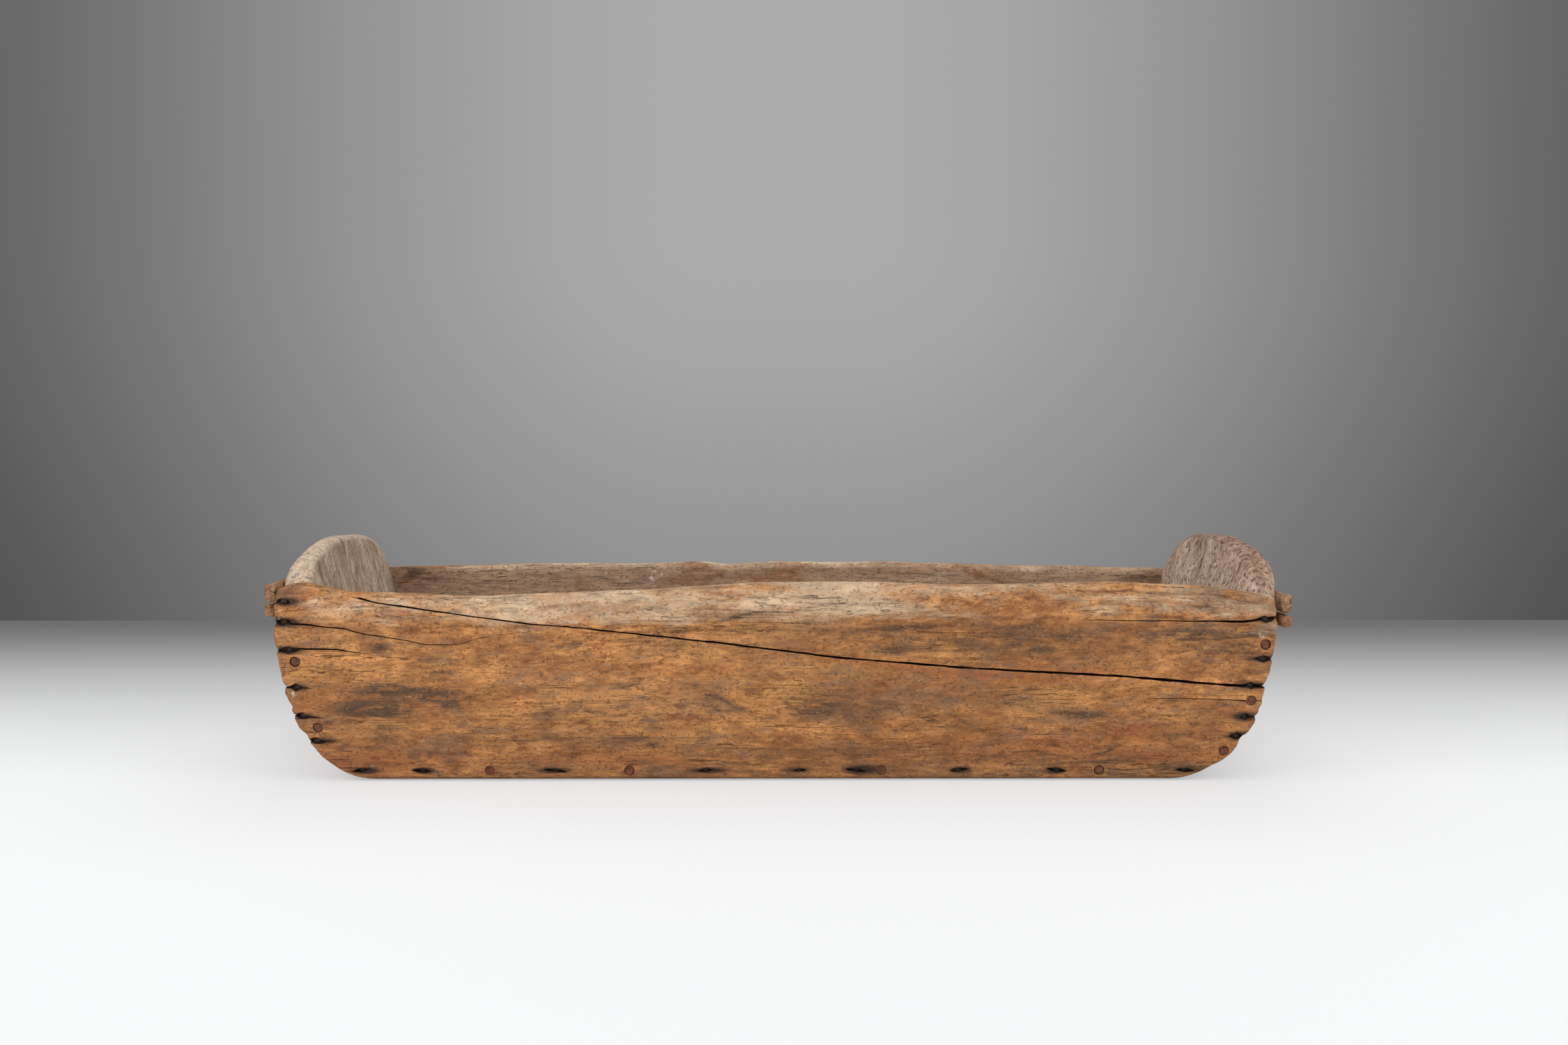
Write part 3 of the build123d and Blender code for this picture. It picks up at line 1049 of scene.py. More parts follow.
@dataclass(frozen=True)
class Spot:
    """A soft-edged patch on a side board, by its middle, its reach along and up, and its strength."""

    mark: Mark
    x: float
    z: float
    long: float
    tall: float
    strength: float = 1.0
    inside: bool = False
    slope: float = 0.0

    def reach(self, points: np.ndarray) -> np.ndarray:
        """The patch's share at points, before it is made uneven.

        Args:
            points: The points.

        Returns:
            The share at each.
        """
        along = points[:, 0] - self.x
        up = (points[:, 2] - self.z - self.slope * along) / self.tall
        return self.strength * np.exp(-((along / self.long) ** 2) - up**2)


def spots(mark: Mark, *rows: tuple[float, ...], inside: bool = False) -> tuple[Spot, ...]:
    """Patches of one mark.

    Args:
        mark: The mark.
        rows: For each patch its X, height, reach along, reach up, strength, and its slope if it has one.
        inside: Whether they lie on the inner face.

    Returns:
        The patches.
    """
    return tuple(Spot(mark, *row[:5], inside, *row[5:]) for row in rows)


FIXING_WIDTH = 13.0  # no nail or peg is wider, and none stands closer to the next


def fixings(node: str) -> list[np.ndarray]:
    """The lowest and highest corner of each nail or peg of a CAD node, in millimetres.

    Args:
        node: The node's name.

    Returns:
        For each nail or peg its two corners.
    """
    points = points_of(FRAME["nodes"][node])
    across = [1, 2] if "slat" in node else [0, 2]
    groups: list[list[np.ndarray]] = []
    for point in points:
        for group in groups:
            if np.abs(group[0][across] - point[across]).max() < FIXING_WIDTH:
                group.append(point)
                break
        else:
            groups.append([point])
    return [np.stack([np.min(group, axis=0), np.max(group, axis=0)]) for group in groups]


class Board:
    """What the boards share: a finish, cracks, and a face that the cracks open in."""

    finish: Wood
    cracks: tuple[Crack, ...]
    seed: int

    def face_point(self, rows: np.ndarray) -> np.ndarray:
        """Turns rows of a place along and across the face, and a distance out of it, into points."""
        raise NotImplementedError

    def crack_open(self, board: Object, cracks: tuple[Crack, ...]) -> None:
        """Cuts cracks into the face.

        Args:
            board: The board's mesh.
            cracks: The cracks, which are cut one after another because they may cross.
        """
        for number, crack in enumerate(cracks):
            wedge = crack.wedge(self.seed + 50 + number, self.face_point)
            # The crack's faces take painted shade
            cut_away(board, [wedge], ShadedCutWood().material())


@dataclass
class SideBoard(Board):
    """A long hewn board of one side, with its own rim, cracks and stains."""

    side: Side
    rim: tuple[Point, ...]
    finish: Wood
    cracks: tuple[Crack, ...]
    spots: tuple[Spot, ...] = ()
    seed: int = 1
    # The outer face: thickness and height, and for brow and crest thickness and drop below the rim
    foot: Point = (34.0, 10.0)
    belly: Point = (41.0, 110.0)
    shoulder: Point = (38.0, 201.0)
    brow: Point = (26.0, 12.0)
    crest: Point = (21.0, 9.0)
    lip: float = 44.0  # how far the pale lip reaches down
    outer_from: float = 15.0  # points further out than this are on the outer face
    end_round: float = 6.0
    # A nail's pit: the least and most of its reach along, in and up, and the low ones' share of these
    pit: tuple[Point, ...] = ((8, 14), (6, 7.5), (3.8, 5.4))
    low_pit: Triple = (1.1, 1, 0.72)
    peg_hole: float = 6.7
    cuts: Cuts = ((18, 18), (14,), (96,))
    hewn: tuple[Layer, ...] = (
        Layer(1.5, (230, 300, 62), 1),
        Layer(0.9, (95, 200, 15), 2, 2),
        Layer(0.5, (70, 90, 6.5), 3),
    )
    # Where the lip is paler or darker: by how much, the X, and the reach
    paler: tuple[Triple, ...] = ((0.14, -290, 120), (0.22, 100, 90), (0.12, -150, 80), (-0.20, -500, 90))
    levels: dict[Point, float] = field(default_factory=dict)

    @property
    def node(self) -> str:
        """The CAD node that the board replaces."""
        return f"{self.side.name.lower()}_board"

    def rim_height(self, x: np.ndarray) -> np.ndarray:
        """The rim's height along the board.

        Args:
            x: Where along the board.

        Returns:
            The heights.
        """
        shares, heights = zip(*self.rim)
        steps = (-16, -8, 0, 8, 16)
        start = x + LEFT.board_end
        total = sum(np.interp((start + step) / BOARD_LENGTH, shares, heights) for step in steps)
        return total / len(steps) + 1.1 * line_noise(x, 44.0, self.seed, 3)

    def face_y(self, height: np.ndarray, rim: np.ndarray) -> np.ndarray:
        """Distance from the middle to the outer face, before it is hewn.

        Args:
            height: The heights.
            rim: The rim's height there.

        Returns:
            The distances.
        """
        foot, belly, shoulder = [(inner_y(z) + t, z) for t, z in (self.foot, self.belly, self.shoulder)]
        thick, drop = self.brow
        lip, crest = (inner_y(rim - drop) + thick, rim - drop), (inner_y(rim), rim)
        low = circle_y([foot, belly, shoulder], height)
        high = circle_y([shoulder, lip, crest], np.minimum(height, rim - 1))
        return np.where(height <= self.shoulder[1], low, high)

    def section(self, s: np.ndarray, h: np.ndarray, rim: np.ndarray, wear: np.ndarray) -> list[np.ndarray]:
        """Maps the unit square onto the board's section.

        Args:
            s: From 0 at the inner face to 1 at the outer face.
            h: From 0 at the underside to 1 at the rim.
            rim: The rim's height there.
            wear: How far the outer face is worn back, at the board's ends.

        Returns:
            The distance from the middle, and the height.
        """
        rim = rim - 1.4 * wear
        zero = np.zeros_like(s)
        reach, low = self.foot[0] - wear, self.foot[1]
        (brow, drop), (crest, inner_drop) = self.brow, self.crest

        def under(share: np.ndarray) -> list[np.ndarray]:
            """The underside's curve."""
            foot = [(zero, zero), (reach * 0.6, zero), (reach * 0.95, zero), (reach, zero + low)]
            return bezier(foot, share)

        def over(share: np.ndarray) -> list[np.ndarray]:
            """The rim's curve."""
            top = [(zero, rim - inner_drop), (zero + 2, rim + 3), (crest - wear, rim + 2)]
            return bezier([*top, (brow - wear, rim - drop)], share)

        def outer(share: np.ndarray) -> list[np.ndarray]:
            """The outer face's curve."""
            z = low + share * (rim - drop - low)
            return [self.face_y(z, rim) - inner_y(z) - wear, z]

        def inner(share: np.ndarray) -> list[np.ndarray]:
            """The inner face's line."""
            return [zero, share * (rim - inner_drop)]

        edges = [inner(h), outer(h), under(s), over(s)]
        corners = [inner(zero), inner(zero + 1), outer(zero), outer(zero + 1)]
        made = []
        for k in (0, 1):
            near, far, bottom, top = [edge[k] for edge in edges]
            c00, c01, c10, c11 = [corner[k] for corner in corners]
            flat = (1 - s) * near + s * far + (1 - h) * bottom + h * top
            made.append(flat - (1 - s) * ((1 - h) * c00 + h * c01) - s * ((1 - h) * c10 + h * c11))
        return [inner_y(made[1]) + made[0], made[1]]

    def fixed(self, kind: str, columns: tuple[str, ...] = ("left", "right", "bottom")) -> list[Point]:
        """The X and height of each of the board's nails or pegs, or of those in some columns.

        Args:
            kind: Which of them, as in the nodes' names.
            columns: The columns, as in the nodes' names.

        Returns:
            Their places.
        """
        found = []
        for column in columns:
            for low, high in fixings(f"{self.side.name.lower()}_{column}_{kind}"):
                found.append((float(low[0] + high[0]) / 2, float(low[2] + high[2]) / 2))
        return found

    def shaped(self) -> Object:
        """Shapes a fine box into the board.

        Returns:
            The board, before it is cut.
        """
        board = fine_box(f"{self.node}_hewn", self.cuts)
        u, s, h = points_of(board).T
        u = crowd(u, 0.5)
        wear = worn(np.minimum(u, 1 - u) * BOARD_LENGTH, self.end_round)
        rim = self.rim_height(-LEFT.board_end + u * BOARD_LENGTH)
        y, z = self.section(s, h, rim, wear)
        left, right = [
            end.worn_outline(z, self.seed, [nail[1] for nail in self.fixed("nails", (end.name,))])
            for end in (LEFT, RIGHT)
        ]
        x = left + u * (right - left)
        write_points(board, np.stack([x, self.side.value * y, z], axis=1))
        face_outwards(board)
        self.hew(board)
        return board

    def hew(self, board: Object) -> None:
        """Moves the surface in and out, as the axe, the weather and use left it.

        Args:
            board: The board.
        """
        points, normals = points_of(board), normals_of(board)
        x, z = points[:, 0], points[:, 2]
        outer = ramp(6, 18, np.abs(points[:, 1]) - inner_y(z))
        move = relief(points, self.hewn, self.seed) * (0.5 + 0.5 * outer)
        # The lip stands proud and lumpy, and the board's tips are gnarled
        lip = self.lip_share(x, z)
        move += lip * outer * (0.7 + 1.1 * noise(points, (60, 40, 22), self.seed + 4, 2))
        tips = ramp(60, 4, np.minimum(x - points[:, 0].min(), points[:, 0].max() - x)) * outer
        move += tips * (1.4 + 1.6 * lip) * noise(points, (16, 30, 8), self.seed + 13, 2)
        # A groove comes and goes along the lip's lower edge, and planed places lie a little lower
        strength = ramp(-0.1, 0.6, line_noise(x, 130.0, self.seed + 5) + 0.7 * ramp(440, 560, np.abs(x)))
        move -= outer * 2.0 * strength * hump(z, self.lip_edge(x), 3.0)
        for spot in self.spots:
            if spot.mark is Mark.GOLD:
                move -= outer * 0.5 * ramp(0.25, 0.45, spot.reach(points))
        swell(board, points, normals, move * ramp(1, 14, z))

    def lip_edge(self, x: np.ndarray) -> np.ndarray:
        """The height of the pale lip's lower edge."""
        return self.rim_height(x) - self.lip + 4.5 * line_noise(x, 120.0, self.seed + 7, 3)

    def lip_share(self, x: np.ndarray, z: np.ndarray) -> np.ndarray:
        """1 on the pale lip and 0 below it."""
        return ramp(-6.0, 5.0, z - self.lip_edge(x))

    def find_levels(self, board: Object) -> None:
        """Notes the Y of the hewn face at each nail and peg.

        Args:
            board: The board, before it is cut.
        """
        points = points_of(board)
        outer = points[np.abs(points[:, 1]) - inner_y(points[:, 2]) > self.outer_from]
        for x, z in self.fixed("nails") + self.fixed("pegs"):
            nearest = np.argsort((outer[:, 0] - x) ** 2 + (outer[:, 2] - z) ** 2)[:4]
            self.levels[(x, z)] = float(outer[nearest, 1].mean())

    def level_at(self, x: float, z: float) -> float:
        """The Y of the hewn face at the nail or peg nearest to a point."""
        key = min(self.levels, key=lambda place: (place[0] - x) ** 2 + (place[1] - z) ** 2)
        return self.levels[key]

    def pits(self) -> list[Object]:
        """The lens-shaped hollows round the nails, as bodies to cut with.

        Returns:
            The bodies.
        """
        rng = np.random.default_rng(self.seed + 20)
        made = []
        for x, z in self.fixed("nails"):
            deselect()
            place = (x * MM, self.levels[(x, z)] * MM, z * MM)
            bpy.ops.mesh.primitive_uv_sphere_add(segments=20, ring_count=10, radius=MM, location=place)
            pit = settle()
            middle = np.array(place) / MM
            size = np.array([rng.uniform(*reach) for reach in self.pit])
            size *= self.low_pit if z < FLOOR_THICKNESS else (1, 1, 1)
            # A ball, narrowed to points along the grain and tilted a little
            ball = points_of(pit) - middle
            ball[:, 2] *= 1 - 0.65 * np.abs(ball[:, 0])
            lens = middle + ball * size
            lens[:, 2] += rng.uniform(-0.16, 0.16) * (lens[:, 0] - x)
            write_points(pit, lens + normals_of(pit) * 1.5 * noise(lens, (6, 6, 3), self.seed, 2)[:, None])
            made.append(pit)
        return made

    def peg_holes(self) -> list[Object]:
        """The narrow gaps round the pegs' ends, as bodies to cut with.

        Returns:
            The bodies.
        """
        made = []
        for x, z in self.fixed("pegs"):
            deselect()
            place = (x * MM, self.levels[(x, z)] * MM, z * MM)
            turn = (math.pi / 2, 0, 0)
            bpy.ops.mesh.primitive_cylinder_add(
                vertices=20, radius=self.peg_hole * MM, depth=10 * MM, location=place, rotation=turn
            )
            made.append(settle())
        return made

    def face_point(self, rows: np.ndarray) -> np.ndarray:
        """Turns rows of X, height and distance out of the outer face into points."""
        x, z, lift = rows.T
        return np.stack([x, self.side.value * (self.face_y(z, self.rim_height(x)) + lift), z], axis=1)

    def nail_cracks(self) -> list[Crack]:
        """Returns:
            The cracks.
        """
        rng = np.random.default_rng(self.seed + 30)
        made = []
        for end in (LEFT, RIGHT):
            for x, z in self.fixed("nails", (end.name,)):
                start = end.side * (end.board_end - float(end.setback(np.array([z]))[0]) + 5)
                reach = x - end.side * (3 + 26 * rng.uniform(0, 1) ** 2)
                path = ((start, z + rng.uniform(-3, 3)), (x, z), (reach, z + rng.uniform(-4, 1)))
                made.append(Crack(path, width=rng.uniform(1.8, 4.6), depth=rng.uniform(10, 16), end=0.1))
        return made

    def write_marks(self, board: Object) -> None:
        """Keeps on the mesh where it is pale, dull, stained, red, gold, painted, or black from iron, and
        where painted shade darkens its foot.

        Args:
            board: The board, after it is cut.
        """
        points = points_of(board)
        x, z = points[:, 0], points[:, 2]
        outside = ramp(2, 9, np.abs(points[:, 1]) - inner_y(z))
        # The lip is pale, by a share that changes along the board
        along = 0.5 + 0.16 * line_noise(x, 110.0, self.seed + 8, 2) + 0.08 * ramp(480, 380, np.abs(x + 60))
        along += sum(share * hump(x, middle, reach) for share, middle, reach in self.paler)
        along -= 0.13 * ramp(120, 420, x) + 0.25 * ramp(530, 610, -x)
        marks = blank_marks(board)
        lip = ramp(-22.0, 20.0, z - self.lip_edge(x) + 9 * noise(points, (60, 60, 16), self.seed + 12, 3))
        marks[Mark.PALE] = lip * along * outside
        marks[Mark.PALE] += (1 - outside) * (0.16 + 0.25 * ramp(-16, 0, z - self.rim_height(x)))
        patches = ramp(0.0, 0.7, noise(points, (150, 90, 50), self.seed + 9))
        marks[Mark.DULL] = (1 - outside) * 0.9 + outside * 0.35 * patches
        patches = ramp(0.1, 0.8, noise(points, (190, 60, 42), self.seed + 10, 2))
        marks[Mark.STAIN] = (1 - outside) * 0.12 + outside * 0.35 * patches
        # Soot round the nails
        rng = np.random.default_rng(self.seed + 40)
        for nail_x, nail_z in self.fixed("nails"):
            nail_x += rng.uniform(-4, 6)
            long, tall, strength = rng.uniform(15, 32), rng.uniform(4, 7.5), rng.uniform(0.6, 1.1)
            soot = Spot(Mark.IRON, nail_x, nail_z, long, tall, strength)
            marks[Mark.IRON] = np.maximum(marks[Mark.IRON], soot.reach(points) * outside)
        uneven = 1 + 0.45 * noise(points, (50, 40, 12), self.seed + 11, 2)
        for spot in self.spots:
            where = 1 - outside if spot.inside else outside
            marks[spot.mark] = np.maximum(marks[spot.mark], spot.reach(points) * uneven * where)
        # The end grain is dark, and painted shade darkens the outer face's lowest 7 mm, above the floor
        sawn = ramp(0.6, 0.9, np.abs(normals_of(board)[:, 0]))
        marks[Mark.STAIN] = np.maximum(marks[Mark.STAIN], 0.7 * sawn)
        # Painted shade on the outer face's lowest 7 mm, where it stands on the floor
        marks[Mark.CUT] = 0.8 * ramp(-7, 0, -z) * outside
        write_marks(board, marks)

    def build(self) -> Object:
        """Makes the finished board.

        Returns:
            The board.
        """
        board = self.shaped()
        self.find_levels(board)
        board.data.materials.append(self.finish.material())
        # The pits' and peg holes' faces take painted shade
        cut_away(board, self.pits() + self.peg_holes(), ShadedCutWood().material())
        self.crack_open(board, self.cracks + tuple(self.nail_cracks()))
        self.write_marks(board)
        return hand_over(board, self.node, "side_boards")


@dataclass
class EndBoard(Board):
    """An arched board that closes one end, leaning outwards."""

    end: End
    finish: Wood
    cracks: tuple[Crack, ...] = ()
    seed: int = 100
    thickness: float = 48.0
    rake: float = math.tan(math.radians(10.0))
    spring: float = 245.0
    rise: float = 63.0
    outer_round: float = 13.0
    inner_round: float = 10.0
    lean: float = 8.0  # how far the arch leans out, over the heights after it
    lean_heights: Point = (238.0, 285.0)
    hollow: float = 0.0  # how deep the inner face is hollowed, over the heights after it
    hollow_heights: Point = (150.0, 240.0)
    square: float = 2.8  # the arch's back half as the power of a superellipse
    top_pale: float = -0.32
    top_stain: float = 0.5
    cuts: Cuts = ((12,), (10, 12), (96,))
    hewn: tuple[Layer, ...] = (Layer(1.3, (60, 60, 75)), Layer(0.55, (14, 9, 70), 1, 2))

    def inner_x(self, z: np.ndarray) -> np.ndarray:
        """The X of the inner face at heights, which use has hollowed above the feed.

        Args:
            z: The heights.

        Returns:
            The X there.
        """
        end = self.end
        raked = end.board_end - (self.thickness - end.proud + (end.curve_top - z) * self.rake)
        leaning, hollowed = ramp(*self.lean_heights, z), ramp(*self.hollow_heights, z)
        return end.side * (raked + self.lean * leaning + self.hollow * hollowed)

    def outer_x(self, z: np.ndarray) -> np.ndarray:
        """The X of the outer face at heights, which leans out above the slats.

        Args:
            z: The heights.

        Returns:
            The X there.
        """
        end = self.end
        leaning = self.lean * ramp(*self.lean_heights, z)
        return end.side * (end.board_end + end.proud - end.setback(z) + leaning)

    def shaped(self) -> Object:
        """Shapes a fine box into the board.

        Returns:
            The board, before it is cut.
        """
        board = fine_box(f"{self.end.name}_end_board_hewn", self.cuts)
        t, u, v = points_of(board).T
        t, across = crowd(t, 0.8), 2 * u - 1
        z = FLOOR_THICKNESS + (self.spring - FLOOR_THICKNESS) * v
        depth = np.abs(self.outer_x(z) - self.inner_x(z))
        free = ramp(self.spring - 12, self.spring + 8, z + self.rise * v**2 * (1 - across**2))
        worn_back = free * (worn(t * depth, self.inner_round) + worn((1 - t) * depth, self.outer_round))
        # The box's flat top swells into the arch
        bulge, turn = v**2, math.pi / 2 * across
        power = np.where(across > 0, 2 / self.square, 1.0)
        spread = (1 - bulge) * across + bulge * np.sign(across) * np.abs(np.sin(turn)) ** power
        y = spread * (inner_y(z) - FIT - worn_back)
        z = z + bulge * (self.rise - worn_back) * np.maximum(np.cos(turn), 0) ** power
        x = self.inner_x(z) + t * (self.outer_x(z) - self.inner_x(z))
        write_points(board, np.stack([x, y, z], axis=1))
        face_outwards(board)
        points, normals = points_of(board), normals_of(board)
        move = relief(points, self.hewn, self.seed)
        move += 0.3 * self.finish.pitting * noise(points, (9, 6, 8), self.seed + 2, 2)
        held = ramp(FLOOR_THICKNESS, FLOOR_THICKNESS + 8, points[:, 2])
        swell(board, points, normals, move * held)
        return board

    def face_point(self, rows: np.ndarray) -> np.ndarray:
        """Turns rows of height, Y and distance out of the inner face into points."""
        z, y, lift = rows.T
        return np.stack([self.inner_x(z) - self.end.side * lift, y, z], axis=1)

    def write_marks(self, board: Object) -> None:
        """Keeps on the mesh where it is pale, dull or stained.

        Args:
            board: The board, after it is cut.
        """
        points, normals = points_of(board), normals_of(board)
        y, z = points[:, 1], points[:, 2]
        top = ramp(0.25, 0.8, normals[:, 2]) * ramp(self.spring - 15, self.spring + 15, z)
        marks = blank_marks(board)
        marks[Mark.PALE] = 0.5 + self.top_pale * top + 0.2 * noise(points, (50, 50, 50), self.seed + 5, 2)
        marks[Mark.DULL] = (1 - top) * (0.75 + 0.3 * noise(points, (60, 60, 60), self.seed + 3))
        low = ramp(20 - self.spring, 110 - self.spring, -z)
        patches = ramp(0.1, 0.7, noise(points, (80, 60, 70), self.seed + 4, 2))
        corner = ramp(0.90, 1.0, np.abs(y) / inner_y(np.minimum(z, self.spring)))
        marks[Mark.STAIN] = 0.55 * low + self.top_stain * top + (1 - top) * (0.2 * patches + 0.35 * corner)
        write_marks(board, marks)

    def build(self) -> Object:
        """Makes the finished board.

        Returns:
            The board.
        """
        board = self.shaped()
        board.data.materials.append(self.finish.material())
        self.crack_open(board, self.cracks)
        self.write_marks(board)
        return hand_over(board, f"{self.end.name}_end_board", "end_boards")


@dataclass
class BottomBoard(Board):
    """The thick board that everything stands on, with its ends in the trough's outline."""

    finish: Wood
    cracks: tuple[Crack, ...] = ()
    seed: int = 200
    cuts: Cuts = ((14, 16), (60,), (5,))
    hewn: tuple[Layer, ...] = (Layer(1.0, (170, 48, 300)), Layer(0.8, (80, 11, 300), 1, 2))

    def face_point(self, rows: np.ndarray) -> np.ndarray:
        """Turns rows of X, Y and distance above the upper face into points."""
        return rows + np.array([0, 0, FLOOR_THICKNESS])

    def build(self) -> Object:
        """Makes the finished board.

        Returns:
            The board.
        """
        board = fine_box("bottom_board_hewn", self.cuts)
        u, v, h = points_of(board).T
        z = FLOOR_THICKNESS * h
        y = (2 * v - 1) * (inner_y(z) - FIT)
        left, right = [end.side * (end.board_end - end.setback(z)) for end in (LEFT, RIGHT)]
        write_points(board, np.stack([left + crowd(u, 0.4) * (right - left), y, z], axis=1))
        face_outwards(board)
        points, normals = points_of(board), normals_of(board)
        move = relief(points, self.hewn, self.seed)
        up, out = ramp(0.5, 0.9, normals[:, 2]), ramp(0.5, 0.9, np.abs(normals[:, 0]))
        swell(board, points, normals, move * (up + out) - 0.4 * up)
        board.data.materials.append(self.finish.material())
        self.crack_open(board, self.cracks)
        points = points_of(board)
        marks = blank_marks(board)
        marks[Mark.DULL] = 0.5 + 0.4 * noise(points, (160, 80, 60), self.seed + 2, 2)
        marks[Mark.STAIN] = 0.35 + 0.5 * noise(points, (120, 90, 60), self.seed + 3, 2)
        marks[Mark.STAIN] += 0.5 * ramp(-24, -2, np.abs(points[:, 1]) - inner_y(points[:, 2]))
        write_marks(board, marks)
        return hand_over(board, "bottom_board", "bottom_board")


@dataclass
class Slat:
    """A narrow band nailed across the outer face of an end board."""

    end: End
    level: str
    bottom: float
    height: float
    reach: float
    finish: Wood
    seed: int = 300
    thickness: float = 16.0
    outer_face: float = 670.0
    round: float = 5.5
    cuts: Cuts = ((8,), (10, 12), (10,))
    split: tuple[Layer, ...] = (Layer(0.9, (30, 55, 14), 1, 2), Layer(0.45, (5, 60, 4), 2))

    def build(self) -> Object:
        """Makes the finished slat.

        Returns:
            The slat.
        """
        slat = fine_box(f"{self.end.name}_{self.level}_slat_split", self.cuts)
        t, u, v = points_of(slat).T
        across = (2 * crowd(u, 0.7) - 1) * self.reach
        half = np.array([self.thickness, self.height]) / 2
        p = np.stack([2 * crowd(t, 0.6) - 1, 2 * crowd(v, 0.6) - 1], axis=1) * half
        # Round the corners, taper the ends and leave them ragged
        core = np.clip(p, self.round - half, half - self.round)
        corner = p - core
        longest = np.maximum(np.linalg.norm(corner, axis=1), 1e-6)
        p = core + corner * (np.abs(corner).max(axis=1) / longest)[:, None]
        p = p * (1 - worn(self.reach - np.abs(across), 3.0) / 12)[:, None]
        ragged = 2.2 * noise(np.stack([across * 0.01, p[:, 0], p[:, 1]], axis=1), (1, 4, 4), self.seed, 2)
        across = across - np.sign(across) * (2 + ragged) * ramp(0.9, 1.0, np.abs(across) / self.reach)
        x = self.end.side * (self.outer_face - self.thickness / 2) + p[:, 0]
        write_points(slat, np.stack([x, across, self.bottom + self.height / 2 + p[:, 1]], axis=1))
        face_outwards(slat)
        points, normals = points_of(slat), normals_of(slat)
        move = relief(points, self.split, self.seed)
        tips = ramp(0.84, 0.97, np.abs(points[:, 1]) / self.reach)
        move += 2.2 * tips * noise(points, (9, 9, 8), self.seed + 5, 2)
        swell(slat, points, normals, move - 0.5)
        slat.data.materials.append(self.finish.material())
        points = points_of(slat)
        marks = blank_marks(slat)
        marks[Mark.PALE] = 0.3 + 0.35 * noise(points, (30, 60, 20), self.seed + 3, 2)
        marks[Mark.STAIN] = 0.3 * ramp(0.1, 0.7, noise(points, (30, 50, 12), self.seed + 4, 2))
        for low, high in fixings(f"{self.end.name}_slat_nails"):
            middle = (low + high) / 2
            away = ((points[:, 1] - middle[1]) / 16) ** 2 + ((points[:, 2] - middle[2]) / 5) ** 2
            marks[Mark.IRON] = np.maximum(marks[Mark.IRON], np.exp(-away))
        write_marks(slat, marks)
        return hand_over(slat, f"{self.end.name}_{self.level}_slat", "slats")


class Fixing(Enum):
    """What holds the boards together."""

    NAIL = "nails"
    PEG = "pegs"


@dataclass
class FixingModel:
    """A nail or a peg that is modelled once, pointing up with the top of its head at the origin."""

    kind: Fixing
    length: float
    head: float = 11.0
    head_height: float = 2.5
    facet: Point = (0.5, 0.42)  # the head's flat top, as a share of the head
    taper: float = 0.36  # the shank's tip, as a share of its root
    hammered: float = 0.6
    radius: float = 6.0
    dish: tuple[Point, ...] = ((0.6, 0.0), (1.2, -0.15), (1.6, 0.1))  # insets and rises of a peg's end

    def build(self) -> Object:
        """Makes the model.

        Returns:
            The nail or the peg.
        """
        return self.nail() if self.kind is Fixing.NAIL else self.peg()

    def nail(self) -> Object:
        """A forged nail, with a low faceted head and a tapered square shank.

        Returns:
            The nail.
        """
        deselect()
        bpy.ops.mesh.primitive_cube_add(size=MM, location=(0, 0, -self.head_height * MM / 2))
        bpy.context.object.scale = (self.head, self.head, self.head_height)
        nail = settle("nail_model")
        pick(nail, lambda face: face.normal.z > 0.9)
        bpy.ops.object.mode_set(mode="EDIT")
        bpy.ops.transform.resize(value=(*self.facet, 1))
        bpy.ops.object.mode_set(mode="OBJECT")
        pick(nail, lambda face: face.normal.z < -0.9)
        bpy.ops.object.mode_set(mode="EDIT")
        bpy.ops.mesh.inset(thickness=self.head * MM / 4, depth=0)
        shank = -(self.length - self.head_height) * MM
        bpy.ops.mesh.extrude_region_move(TRANSFORM_OT_translate={"value": (0, 0, shank)})
        bpy.ops.transform.resize(value=(self.taper, self.taper, 1))
        bpy.ops.object.mode_set(mode="OBJECT")
        bevel = nail.modifiers.new("hammered", "BEVEL")
        bevel.width, bevel.segments = self.hammered * MM, 2
        bpy.ops.object.modifier_apply(modifier=bevel.name)
        return nail

    def peg(self) -> Object:
        """A whittled peg with a slightly dished end.

        Returns:
            The peg.
        """
        deselect()
        middle = (0, 0, -self.length * MM / 2)
        bpy.ops.mesh.primitive_cylinder_add(
            vertices=20, radius=self.radius * MM, depth=self.length * MM, location=middle
        )
        peg = settle("peg_model")
        pick(peg, lambda face: face.normal.z > 0.9)
        bpy.ops.object.mode_set(mode="EDIT")
        for inset, lift in self.dish:
            bpy.ops.mesh.inset(thickness=inset * MM, depth=lift * MM)
        bpy.ops.object.mode_set(mode="OBJECT")
        return peg


